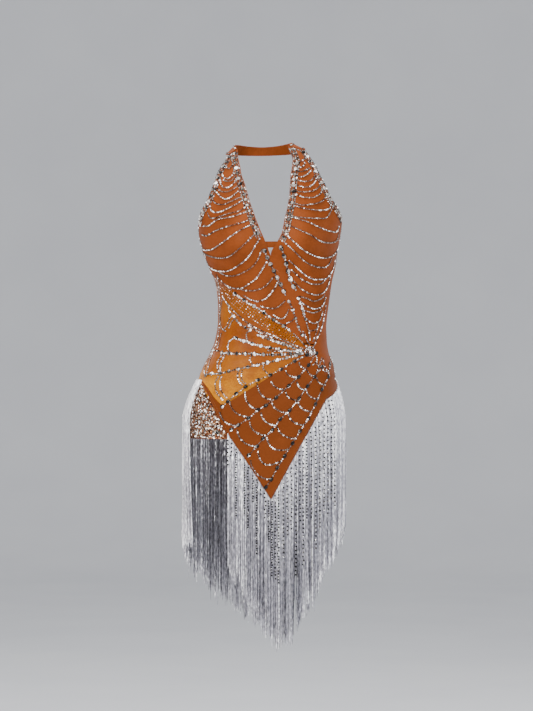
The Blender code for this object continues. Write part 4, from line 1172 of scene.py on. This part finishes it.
def set_stones(name, cut, rows, stands_for=(), dark=0.3, bright=0.4, cup_look=CUP_METAL):
    """Sets rows of stones as one piece, each facet painted light or dark: a painted reflection. dark is the
    share of facets painted dark. It varies from stone to stone, and is more for facets that look up and on
    one side of each stone, a painted shade. bright is the share of stones painted as catching the lamps, a
    painted highlight."""
    corners, triangles, facet_of, ways, cup = CUTS[cut]
    stones = np.vstack(rows)
    chance = np.random.default_rng(len(stones))
    at, away, along, beads = stones[:, :3], stones[:, 3:6], stones[:, 6:9], stones[:, 9:]
    tip = chance.normal(0, STONE_TIP, (len(stones), 2))
    away = unit(away + along * tip[:, :1] + np.cross(away, along) * tip[:, 1:])
    along = squared(along, away)
    side = np.cross(away, along)
    x, y, z = corners.T[:, None, :, None]
    length, width, deep = (size[:, None, None] for size in (*beads.T, beads.min(axis=1)))
    placed = at[:, None] + along[:, None] * x * length + side[:, None] * y * width + away[:, None] * z * deep
    # Facets that look up, and those on one side of each stone, are likelier painted dark: painted shade.
    rising = along[:, None, 2] * ways[:, 0] + side[:, None, 2] * ways[:, 1] + away[:, None, 2] * ways[:, 2]
    turn = chance.uniform(0, 2 * HALF_TURN, (len(stones), 1))
    leaning = np.cos(turn) * ways[:, 0] + np.sin(turn) * ways[:, 1]
    of_stone = dark + chance.normal(0, STONE_UNLIKE, (len(stones), 1))
    is_dark = chance.random(rising.shape) < of_stone + PAINTED_DARK_ABOVE * rising + PAINTED_DARK_SIDE * leaning
    # Some stones are painted as catching the lamps and the rest as duller: painted highlights.
    lit = chance.random((len(stones), 1)) < bright
    painted_glow = np.where(lit, chance.uniform(*LIT_STONE, lit.shape), chance.uniform(*UNLIT_STONE, lit.shape))
    dim, clear = (chance.uniform(*limits, rising.shape) for limits in (PAINTED_DARK_FACET, CLEAR_FACET))
    shade = np.where(is_dark, dim, painted_glow * clear)
    looks, kinds = [GLASS, cup_look], cup.astype(int)
    return join_copies(name, placed, triangles, shade[:, facet_of], looks, stands_for, kinds)


def threads(name, routes, away, widths, tones, look, stands_for=()):
    """Threads of three sides along their middle lines. routes and away hold a row of points, and the way
    out at each, for each thread. widths has one for each point of a thread. tones has one for each thread,
    or one for each stretch of each thread."""
    along = unit(np.gradient(routes, axis=1))
    side = unit(np.cross(along, away))
    lift = np.cross(side, along)
    turn = 2 * HALF_TURN / 3 * np.arange(3)[:, None]
    around = np.cos(turn) * side[:, :, None] + np.sin(turn) * lift[:, :, None]
    corners = routes[:, :, None] + around * (np.asarray(widths) / 2)[:, None, None]
    count, levels = routes.shape[:2]
    level, corner = np.meshgrid(3 * np.arange(levels - 1), np.arange(3), indexing="ij")
    following = (corner + 1) % 3
    faces = np.stack([level + corner, level + 3 + corner, level + 3 + following, level + following], axis=-1)
    faces = faces.reshape(-1, 4)
    tones = np.broadcast_to(np.reshape(tones, (count, -1)), (count, levels - 1))
    shade = np.repeat(tones, 3, axis=1)
    return join_copies(
        name, corners.reshape(count, -1, 3), faces, shade, [look], stands_for, smooth=True
    )


# ---- Cloth -----------------------------------------------------------------------------------------

def make_cloth():
    """Every sheet of cloth, where the CAD node named after its material was."""
    def cup(table, side):
        return worn(lambda u, v: cup_place(table, side, v * (len(table) - 1), u))

    def panel(table):
        return worn(lambda u, v: panel_place(table, u * (len(table) - 1), v))

    def bridge(u, v):
        z = BRIDGE_TOP - BRIDGE_HEIGHT * v
        return angle_at(between(*BRIDGE_SPAN, u), z), z

    def binding(u, v):
        z = between(BINDING_Z[-1], BINDING_Z[0], v)
        edge = np.interp(z, SHORTS_EDGE_Z, SHORTS_EDGE_X)
        return angle_at(edge + between(0.5, np.interp(z, BINDING_Z, BINDING_WIDTH), u), z), z

    def patch(u, v):
        across, up = 2 * u - 1, 2 * v - 1
        x = WAIST_POINT[0] + CLUSTER_RADIUS * across * np.sqrt(1 - up**2 / 2)
        z = WAIST_POINT[1] - CLUSTER_RADIUS * up * np.sqrt(1 - across**2 / 2)
        points, away, cut = worn(lambda *_: (angle_at(x, z), z))(u, v)
        rise = 1 - ((x - WAIST_POINT[0]) ** 2 + (z - WAIST_POINT[1]) ** 2) / CLUSTER_RADIUS**2
        return points + away * CLUSTER_RISE * np.sqrt(np.clip(rise, 0, 1))[:, None], away, cut

    def shorts_back(u, v):
        return around_back(u), between(BACK_HEM - SEAM, HIP_Z, v)

    def drape(u, v):
        return hip_place(v * LAST_LINE, u)

    sheets = (
        ("cup_cloth_right", (56, 150), cup(CUP_RIGHT, -1), CLOTH, JERSEY, "bodice_right", "lr"),
        ("cup_cloth_left", (56, 150), cup(CUP_LEFT, 1), CLOTH, JERSEY, "bodice_left", "lr"),
        ("bust_strap", (24, 8), worn(bridge), BRIDGE, JERSEY, "bust_bridge", ""),
        ("halter_band", (110, 10), neck_band_place, CLOTH, JERSEY, "neck_band", "tb"),
        ("window_net", (110, 14), panel(WINDOW), MESH_CLOTH, GOLD_TULLE, "window_mesh", ""),
        ("midriff_net", (130, 70), panel(MIDRIFF), MESH_CLOTH, POWER_MESH, "midriff_mesh", ""),
        ("side_cloth_left", (16, 80), worn(side_panel_place), CLOTH, JERSEY, "side_panel_left", ""),
        ("back_cloth", (110, 90), worn(back_place), CLOTH, JERSEY, "back_panel", "t"),
        ("hip_drape", (90, 90), worn(drape), OVERLAY, JERSEY, "hip_panel", "rb"),
        ("shorts_cloth_front", (120, 30), panel(SHORTS), CLOTH, JERSEY, "shorts_front", "b"),
        ("shorts_cloth_back", (100, 30), worn(shorts_back), CLOTH, JERSEY, "shorts_back", "b"),
        ("gusset_cloth", (16, 60), gusset_place, CLOTH, JERSEY, "shorts_gusset", ""),
        ("shorts_binding", (6, 60), worn(binding), BINDING, JERSEY, "", ""),
        ("waist_patch", (14, 14), patch, CLOTH, JERSEY, "waist_cluster", ""),
    )
    for name, cells, place, layer, look, stands_for, hems in sheets:
        cloth(name, cells, place, layer, look, [stands_for] if stands_for else [], hems)


# ---- Crystals --------------------------------------------------------------------------------------

ON_CLOTH, ON_MESH, ON_OVERLAY = CLOTH[1], MESH_CLOTH[1], OVERLAY[1]


def cup_line(table, side, rows, inside, outer):
    """A line along an edge of a cup, that far inside it, over some of its rows. outer is its outer edge."""
    at = np.linspace(*rows, 3 * int(rows[1] - rows[0]) + 2)
    ends = [cup_place(table, side, at, np.full_like(at, share)) for share in (0, 1)]
    width = np.linalg.norm(skin(*ends[1]) - skin(*ends[0]), axis=-1)
    share = inside / width
    return np.column_stack(cup_place(table, side, at, 1 - share if outer else share))


def edging(line):
    """The edging of a cup: large round stones with a row of small ones along each side."""
    return [
        stone_row(line, (ROUND_9, ROUND_4), ON_CLOTH),
        stone_row(line, (ROUND_4, ROUND_4, ROUND_3), ON_CLOTH, EDGE_BORDER),
        stone_row(line, (ROUND_4, ROUND_3), ON_CLOTH, -EDGE_BORDER),
    ]


def make_edgings():
    """The edgings of the necklines and armholes, and the rows that carry on down the side seams."""
    for (name, neck, arm, seam), table, side in zip(EDGED, (CUP_RIGHT, CUP_LEFT), (-1, 1)):
        rows = edging(cup_line(table, side, neck, EDGE_ROW, False))
        rows += edging(cup_line(table, side, arm, EDGE_ROW, True))
        set_stones(f"cup_edging_{name}", "large", rows[::3], dark=0.16, bright=0.12)
        small = [row for i, row in enumerate(rows) if i % 3]
        small.append(stone_row(cup_line(table, side, seam, SEAM_ROW, True), (ROUND_3,), ON_CLOTH))
        across = np.linspace(0.1, 0.9, 12)
        strap_end = np.column_stack(cup_place(table, side, np.full_like(across, STRAP_END), across))
        small.append(stone_row(strap_end, (ROUND_4,), ON_CLOTH))
        set_stones(f"cup_edging_border_{name}", "small", small, dark=0.25, bright=0.18)
    at, away = (np.vstack(part) for part in zip(*(band_line(share) for share in BAND_ROWS)))
    along = unit(np.gradient(at, axis=0))
    set_stones("band_stones", "small", [stones_at(at, away, ROUND_3, along)])


def band_line(share):
    """Places a stone apart along the neck band, at a share of its height, and the way out at each."""
    fine = np.linspace(*BAND_ENDS, BAND_STEPS)
    points = neck_band_place(fine, np.full_like(fine, share))[0]
    walked = walked_along(points)
    steps = np.linspace(0, walked[-1], int(walked[-1] / (ROUND_3[0] + BEAD_GAP)))
    points, away, _ = neck_band_place(np.interp(steps, walked, fine), np.full_like(steps, share))
    return points + away * (ON_CLOTH + HEM_RISE), away


def make_stone_lines():
    """Rows of stones laid on the cloth, and chains of them draped across the cups."""
    for name, cut, beads, layer, dark, stands_for, lines in STONE_LINES:
        rows = [stone_row(flat_line(line), beads, layer[1]) for line in lines]
        set_stones(name, cut, rows, stands_for, dark)
    for name, bead, dark, bright, lines in CHAINS:
        rows = [stone_row(flat_line(line), (bead,), ON_CLOTH, slack=SWAG_SLACK) for line in lines]
        set_stones(name, "small", rows, dark=dark, bright=bright)


def make_window_stones():
    """Small stones in staggered rows along the window, dark ones towards the waist."""
    rows = []
    stations = np.linspace(*WINDOW_REACH)
    for number, share in enumerate(np.linspace(*WINDOW_ROWS)):
        line = np.column_stack(panel_place(WINDOW, stations, np.full_like(stations, share)))
        rows.append(stone_row(line, (WINDOW_STONE,), ON_MESH)[number % 2 :: 2])
    stones = np.vstack(rows)
    near_waist = stones[:, 0] > WINDOW_DARK_FROM
    set_stones("window_stones", "small", [stones[~near_waist]], dark=0.05, bright=0.25)
    set_stones("window_stones_dark", "small", [stones[near_waist]], dark=1.5)


def net_line(points):
    """The stones of a line of the net: a large one at each point, and small ones from each to the next."""
    points = np.array(points, float)
    at, away = lie(*flat_line(points).T, ON_OVERLAY)
    along = squared(np.gradient(at, axis=0), away)
    small = []
    for here, following in zip(points, points[1:]):
        clear = (OVAL[0] / 2 + BEAD_GAP) / np.linalg.norm(following - here)
        if clear < NET_CROWDED:
            share = np.array((clear, 0.5, 1 - clear))[:, None]
            small.append(stone_row(flat_line(between(here, following, share)), (ROUND_3,), ON_OVERLAY))
    return stones_at(at, away, OVAL, along), small


def scallop(start_x, start_z, end_x, end_z, dip):
    """A scallop: straight down at first, then level."""
    turn = np.linspace(SCALLOP_CLEAR, HALF_TURN / 2, SCALLOP_STEPS)
    x = between(end_x, start_x, np.cos(turn))
    return np.column_stack([x, between(start_z, end_z, np.sin(turn)) - dip * np.sin(2 * turn)])


def make_net_stones():
    """The net on the hip panel: its lines, and the scallops that hang between them."""
    for number, points in enumerate(NET_LINES, 1):
        large, small = net_line(points)
        # The ovals are painted with almost every facet dark: a painted dark reflection.
        set_stones(f"net_ovals_{number}", "large", [large], [f"net_chain_{number}"], dark=1.35)
        for row in SCALLOPS[number - 2] if number > 1 else ():
            small.append(stone_row(flat_line(scallop(*row)), (ROUND_4,), ON_OVERLAY))
        set_stones(f"net_beads_{number}", "small", small, dark=0.32, bright=0.45)


def make_waist_stones():
    """Rings of stones on the round patch where all the rows meet."""
    rows = []
    for radius, bead, lift in WAIST_RINGS:
        turns = np.arange(0, 2 * HALF_TURN, 2 * HALF_TURN if radius == 0 else (bead[0] + BEAD_GAP) / radius)
        x, z = WAIST_POINT[0] + radius * np.cos(turns), WAIST_POINT[1] + radius * np.sin(turns)
        at, away = lie(angle_at(x, z), z, lift)
        rows.append(stones_at(at, away, bead))
    set_stones("waist_stones", "large", rows, dark=0.3)


# ---- Sequins ---------------------------------------------------------------------------------------

def make_sequins():
    """Rows of overlapping sequins over the shorts, each tipped its own way."""
    bm = bmesh.new()
    bmesh.ops.create_circle(bm, cap_ends=True, cap_tris=True, segments=6, radius=0.5)
    bm.verts.index_update()
    disc = np.array([corner.co for corner in bm.verts])
    faces = np.array([[corner.index for corner in face.verts] for face in bm.faces])
    bm.free()
    disc[:, 2] += SEQUIN_DISH * (np.hypot(*disc[:, :2].T) > NEAR)

    fields = (
        ("shorts_sequins_front", FRINGE_END_RIGHT - SEQUINS_UNDER, angle_at(*SEQUINS_TO), True),
        ("shorts_sequins_back", HALF_TURN / 2 + SEQUINS_INSIDE, 1.5 * HALF_TURN - SEQUINS_INSIDE, False),
    )
    for name, start, end, front in fields:
        chance = np.random.default_rng(SEQUIN_SEED + front)
        places = []
        heights = np.arange(BACK_HEM - SEQUINS_BELOW_TOP, HIP_Z + SEQUINS_ABOVE_HEM, -SEQUIN_ROW)
        step = SEQUIN_STEP / SHORTS_RADIUS
        for i, z in enumerate(heights):
            angles = np.arange(start + (i % 2) * step / 2, end, step)
            places.append(np.column_stack([angles, np.full(len(angles), z)]))
        places = np.vstack(places)
        places += chance.normal(0, 1, places.shape) * (SEQUIN_STRAY / SHORTS_RADIUS, SEQUIN_STRAY)
        if front:
            x = skin(*places.T)[:, 0]
            places = places[x < np.interp(places[:, 1], SHORTS_EDGE_Z, SHORTS_EDGE_X)]
        angle, z = places.T
        open_side = front & (angle > FRINGE_END_RIGHT)
        at, away = lie(angle, z, np.where(open_side, ON_CLOTH + RAISED_OPEN, ON_CLOTH + RAISED_UNDER))
        along = unit(np.cross(away, UP))
        tip = chance.normal(0, 1, (len(at), 2)) * np.where(open_side, TIPPED_OPEN, TIPPED_UNDER)[:, None]
        away = unit(away + along * tip[:, :1] + UP * (tip[:, 1:] + LEAN_OPEN * open_side[:, None]))
        along = squared(along, away)
        side = np.cross(away, along)
        x, y, z = disc.T[:, None, :, None] * SEQUIN_WIDTH
        placed = at[:, None] + along[:, None] * x + side[:, None] * y + away[:, None] * z
        tones, shares = zip(*SEQUIN_TONES)
        tones = chance.choice(tones, len(at), p=shares)
        shade = np.clip(tones[:, None] + chance.normal(0, SEQUIN_UNLIKE, (len(at), len(faces))), 0, 1)
        join_copies(name, placed, faces, shade, [SEQUIN_FILM])


def make_shorts_stones():
    """Crystals scattered among the sequins, and one large black stone."""
    chance = np.random.default_rng(STREWN_SEED)
    angle = chance.uniform(FRINGE_END_RIGHT, angle_at(*STREWN_TO), STREWN)
    z = chance.uniform(HIP_Z + STREWN_ABOVE_HEM, BACK_HEM - STREWN_BELOW_TOP, STREWN)
    x = skin(angle, z)[:, 0]
    keep = x < np.interp(z, SHORTS_EDGE_Z, SHORTS_EDGE_X) - STREWN_INSIDE
    at, away = lie(angle[keep], z[keep], ON_CLOTH + STREWN_RISE)
    strewn = stones_at(at, away, chance.choice(STREWN_SIZES, (len(at), 1)))
    set_stones("shorts_crystals", "small", [strewn], dark=0.1)
    black = stones_at(*lie(*flat_line([BLACK_STONE]).T, ON_CLOTH + BLACK_RISE), BLACK_WIDTH)
    set_stones("shorts_black_stone", "large", [black], dark=1.2)


# ---- Fringe ----------------------------------------------------------------------------------------

def cloth_edge(angle):
    """The height of the cloth edge that the fringe hangs from."""
    front = hip_place(np.linspace(1, LAST_LINE, EDGE_STEPS), np.ones(EDGE_STEPS))
    hem = hip_place(np.full(2 * EDGE_STEPS, float(LAST_LINE)), np.linspace(1, 0, 2 * EDGE_STEPS))
    angles, heights = (np.append(first, second) for first, second in zip(front, hem))
    return np.where(angle >= HALF_TURN / 2, BACK_HEM + LAP, np.interp(angle, angles, heights))


def hem_height(angle):
    """The height of the fringe's lowest edge, which is pointed at the front and at the back."""
    x = skin(angle, HIP_Z)[..., 0]
    quarters = angle / (HALF_TURN / 2)
    back_left = between(BACK_HEM_SIDE_LEFT, BACK_HEM_CENTRE, quarters - 1)
    back_right = between(BACK_HEM_CENTRE, BACK_HEM_SIDE_RIGHT, np.minimum(quarters - 2, LEVEL_FROM))
    front = np.interp(x, FRONT_HEM_X, FRONT_HEM_Z)
    return np.select([quarters < 1, quarters < 2], [front, back_left], back_right)


def hanging(angle, z, layer):
    """A place in the fringe: on the figure as far as its fullest part, and straight down from there."""
    top = cloth_edge(angle)
    bend = np.minimum(FULLEST_Z, top - STRIP_HEIGHT - BEND_UNDER)
    full = between(HANG_LEFT, HANG_RIGHT, np.clip(angle / HALF_TURN - 0.5, 0, 1))
    hang = between(ROOT_OUT, full, np.clip(angle / FRONT_TURN, 0, 1))
    out = between(ROOT_OUT, hang, np.clip((top - z) / (top - bend), 0, 1)) + layer
    held = np.maximum(z, bend)
    away = outward(angle, held)
    point = skin(angle, held) + away * out[..., None]
    point[..., 2] = np.where(z < bend, z, point[..., 2])
    return point, away


def make_fringe():
    """Threads in three layers, clinging in locks, with ragged ends and a few strays."""
    start, end = angle_at(FRONT_HEM_X[0], HIP_Z), 2 * HALF_TURN + FRINGE_END_RIGHT
    fine = np.linspace(start, end, HIP_STEPS)
    walked = walked_along(skin(fine, HIP_Z))
    tip = angle_at(HIP_PANEL[-1, 3], HIP_Z)
    parts = (
        ("front_right", start, tip), ("front_left", tip, HALF_TURN / 2),
        ("back_left", HALF_TURN / 2, HALF_TURN), ("back_right", HALF_TURN, end),
    )
    locks = np.random.default_rng(LOCK_SEED).normal(0, 1, (int(walked[-1] / LOCK_WIDTH) + 2, 4))
    for number, (name, first, last) in enumerate(parts):
        chance = np.random.default_rng(THREAD_SEED + number)
        at_first, at_last = np.interp((first, last), fine, walked)
        count = int((at_last - at_first) / THREAD_PITCH)
        spot = np.tile(at_first + (np.arange(count) + 0.5) * THREAD_PITCH, THREAD_LAYERS)
        layer = np.repeat(np.arange(THREAD_LAYERS), count)
        spot += chance.uniform(-ROOT_STRAY, ROOT_STRAY, len(spot))
        spot = np.clip(spot, at_first + END_CLEAR, at_last - END_CLEAR)
        lock = locks[(spot / LOCK_WIDTH + LOCK_SHIFT * layer).astype(int)]
        angle = np.interp(spot, walked, fine)
        top = cloth_edge(angle) - STRIP_GAP
        ragged = LOCK_RAGGED * lock[:, 0] + chance.normal(0, THREAD_RAGGED, len(spot))
        ragged += SHORT_RAGGED * chance.random(len(spot)) ** 3
        low = hem_height(angle) + np.clip(ragged, *RAGGED_LIMITS) + LAYER_SHORT * (THREAD_LAYERS - 1 - layer)
        stray = chance.random(len(spot)) < STRAY_SHARE
        low -= stray * chance.uniform(*STRAY_REACH, len(spot)) * (low > STRAY_ABOVE_Z)
        z = between(top[:, None], low[:, None], THREAD_LEVELS)
        points, away = hanging(angle[:, None] + 0 * z, z, LAYER_STEP * layer[:, None])
        side = unit(np.cross(UP, away[:, -1:]))
        centre = (np.floor(spot / LOCK_WIDTH) + 0.5) * LOCK_WIDTH
        drop = THREAD_LEVELS**HANG_POWER
        cling = CLING * (centre - spot)[:, None] * drop + LOCK_SWAY * lock[:, 1:2] * drop
        phase = chance.uniform(0, 2 * HALF_TURN, (len(spot), 1))
        turns = chance.uniform(*WAVE_TURNS, (len(spot), 1))
        wave = (WAVE_TOP + WAVE_GROWTH * drop) * np.sin(phase + THREAD_LEVELS * turns)
        near_end = np.clip(1 - (walked[-1] - spot) / LEAN_WIDTH, 0, 1)[:, None]
        cling += END_LEAN * near_end * drop
        curl = chance.uniform(-STRAY_CURL, STRAY_CURL, (len(spot), 1))
        curl = stray[:, None] * THREAD_LEVELS**CURL_POWER * curl
        points += side * (cling + wave + curl)[..., None]
        points += away[:, -1:] * (LOCK_LIFT * lock[:, 2:3] * drop + WAVE_LIFT * wave)[..., None]
        off_centre = np.abs(centre - spot) / (LOCK_WIDTH / 2)
        # Tones differ at random, and carry painted shade: darker on the inner layers, at the edges of locks
        # and lower down.
        tones = TONE + LOCK_UNLIKE * lock[:, 3] + chance.normal(0, THREAD_UNLIKE, len(spot))
        tones += LAYER_SHADE * (layer - 1)
        tones = tones[:, None] - LOCK_EDGE_SHADE * off_centre[:, None] ** 2 + LOWER_SHADE * (z[:, 1:] - HIP_Z)
        tones = np.clip(tones + TIP_LIGHT * THREAD_LEVELS[1:] ** TIP_POWER, 0, 1)
        threads(
            f"fringe_threads_{name}", points, away, THREAD_WIDTH * THREAD_SWELL, tones,
            YARN, [f"fringe_{name}"],
        )


def make_fringe_stones():
    """Small stones in columns on the front fringe, ending at uneven heights."""
    rows = []
    for x, lowest, step in STONE_COLUMNS:
        angle = angle_at(x, HIP_Z)
        first = float(cloth_edge(angle)) - STONES_UNDER_EDGE - (x * STONES_STAGGER) % step
        z = np.arange(first, lowest, -step)
        if not len(z):
            continue
        chance = np.random.default_rng(int(abs(x)) + COLUMN_SEED)
        around = angle + chance.normal(0, STONES_STRAY, len(z)) / FRINGE_RADIUS
        at, away = hanging(around, z, LAYER_STEP * THREAD_LAYERS + THREAD_WIDTH / 2)
        rows.append(stones_at(at, away, FRINGE_STONE, unit(np.cross(away, np.cross(UP, away)))))
    # Almost every facet is painted dark: a painted dark reflection.
    set_stones("fringe_stones", "small", rows, dark=1.5, cup_look=GLASS)


# ---- Stitches --------------------------------------------------------------------------------------

def stitched(line, out):
    """Stitches along a line: the middle line of each, with its way out."""
    here, behind, ahead, beads = along_line(line, (STITCH,), STITCH_GAP)
    at, away = lie(*here, out)
    along = unit(skin(*ahead) - skin(*behind))
    steps, rise, _ = STITCH_SHAPE.T[..., None]
    routes = at[:, None] + along[:, None] * steps * STITCH[0] + away[:, None] * rise
    return routes, np.repeat(away[:, None], len(STITCH_SHAPE), axis=1)


def make_stitches():
    """Rows of stitches along the turned hems and beside the seams."""
    down, across = np.linspace(0, 1, 30), np.linspace(0.01, 0.99, 60)

    def level(value):
        return np.full_like(across, value)

    lines = []
    for inset in HEM_ROWS:
        lines.append((back_place(across, level(inset / BACK_LENGTH)), ON_CLOTH + HEM_RISE))
        line = level(LAST_LINE - inset / NET_LINE_APART)
        lines.append((hip_place(line, across), ON_OVERLAY + HEM_RISE))
        lines.append(((around_back(across), level(HIP_Z + inset)), ON_CLOTH + HEM_RISE))
    z = between(*SEAM_REACH, down)
    for seam in (HALF_TURN / 2, 1.5 * HALF_TURN):
        for offset in SEAM_ROWS:
            lines.append(((seam + offset / section(z)[1], z), ON_CLOTH))
    z = between(*BINDING_REACH, down)
    for inset in BINDING_ROWS:
        x = np.interp(z, SHORTS_EDGE_Z, SHORTS_EDGE_X) + inset
        lines.append(((angle_at(x, z), z), BINDING[1]))
    stations = np.linspace(*WINDOW_SEAM_REACH, 60)
    lines.append((panel_place(WINDOW, stations, level(WINDOW_SEAM)), ON_MESH))
    parts = [stitched(np.column_stack(line), out) for line, out in lines]
    routes, away = (np.vstack(part) for part in zip(*parts))
    tones = np.random.default_rng(STITCH_SEED).uniform(*STITCH_TONES, len(routes))
    widths = STITCH[1] * STITCH_SHAPE[:, 2]
    threads("seam_stitches", routes, away, widths, tones, SEWING_THREAD)


# ---- Studio ----------------------------------------------------------------------------------------

def make_studio():
    """A pale paper floor that curves up into a wall all round, soft lights, and the studio's air."""
    bm = bmesh.new()
    profile = [bm.verts.new((x, 0, FLOOR_Z)) for x in (FLOOR_HOLE, FLOOR_RADIUS)]
    for step in range(1, COVE_STEPS + 1):
        turn = HALF_TURN / 2 * step / COVE_STEPS
        out, up = COVE_RADIUS * math.sin(turn), COVE_RADIUS * (1 - math.cos(turn))
        profile.append(bm.verts.new((FLOOR_RADIUS + out, 0, FLOOR_Z + up)))
    profile.append(bm.verts.new((FLOOR_RADIUS + COVE_RADIUS, 0, WALL_HEIGHT)))
    edges = [bm.edges.new(pair) for pair in zip(profile, profile[1:])]
    bmesh.ops.spin(
        bm, geom=profile + edges, axis=(0, 0, 1), angle=2 * HALF_TURN, steps=SWEEP_SIDES, use_merge=True
    )
    bmesh.ops.remove_doubles(bm, verts=bm.verts[:], dist=2 * FLOOR_HOLE)
    bmesh.ops.recalc_face_normals(bm, faces=bm.faces[:])
    bmesh.ops.reverse_faces(bm, faces=bm.faces[:])
    mesh = bpy.data.meshes.new("paper_sweep")
    bm.to_mesh(mesh)
    bm.free()
    mesh.shade_smooth()
    mesh.materials.append(paper_sweep())
    sweep = bpy.data.objects.new("paper_sweep", mesh)
    bpy.context.scene.collection.objects.link(sweep)

    for name, place, width, watts, colour in LIGHTS:
        lamp = bpy.data.lights.new(name, "AREA")
        lamp.size, lamp.energy, lamp.color = width, watts, linear(colour)[:3]
        light = bpy.data.objects.new(name, lamp)
        light.location = place
        light.rotation_euler = (Vector(LIGHT_TARGET) - Vector(place)).to_track_quat("-Z", "Y").to_euler()
        bpy.context.scene.collection.objects.link(light)

    world = bpy.data.worlds.new("studio_air")
    world.use_nodes = True
    world.node_tree.nodes["Background"].inputs["Color"].default_value = linear(WORLD_COLOUR)
    world.node_tree.nodes["Background"].inputs["Strength"].default_value = WORLD_STRENGTH
    bpy.context.scene.world = world


def make_camera():
    """A camera straight in front, with a long lens that takes in the view's height at the dress."""
    data = bpy.data.cameras.new("camera")
    data.sensor_width, data.lens = SENSOR, SENSOR * VIEW_DISTANCE / VIEW_HEIGHT
    camera = bpy.data.objects.new("camera", data)
    camera.location, camera.rotation_euler = CAMERA_PLACE, (HALF_TURN / 2, 0, 0)
    bpy.context.scene.collection.objects.link(camera)
    bpy.context.scene.camera = camera


make_camera()
make_studio()
make_cloth()
make_edgings()
make_stone_lines()
make_window_stones()
make_net_stones()
make_waist_stones()
make_sequins()
make_shorts_stones()
make_fringe()
make_fringe_stones()
make_stitches()
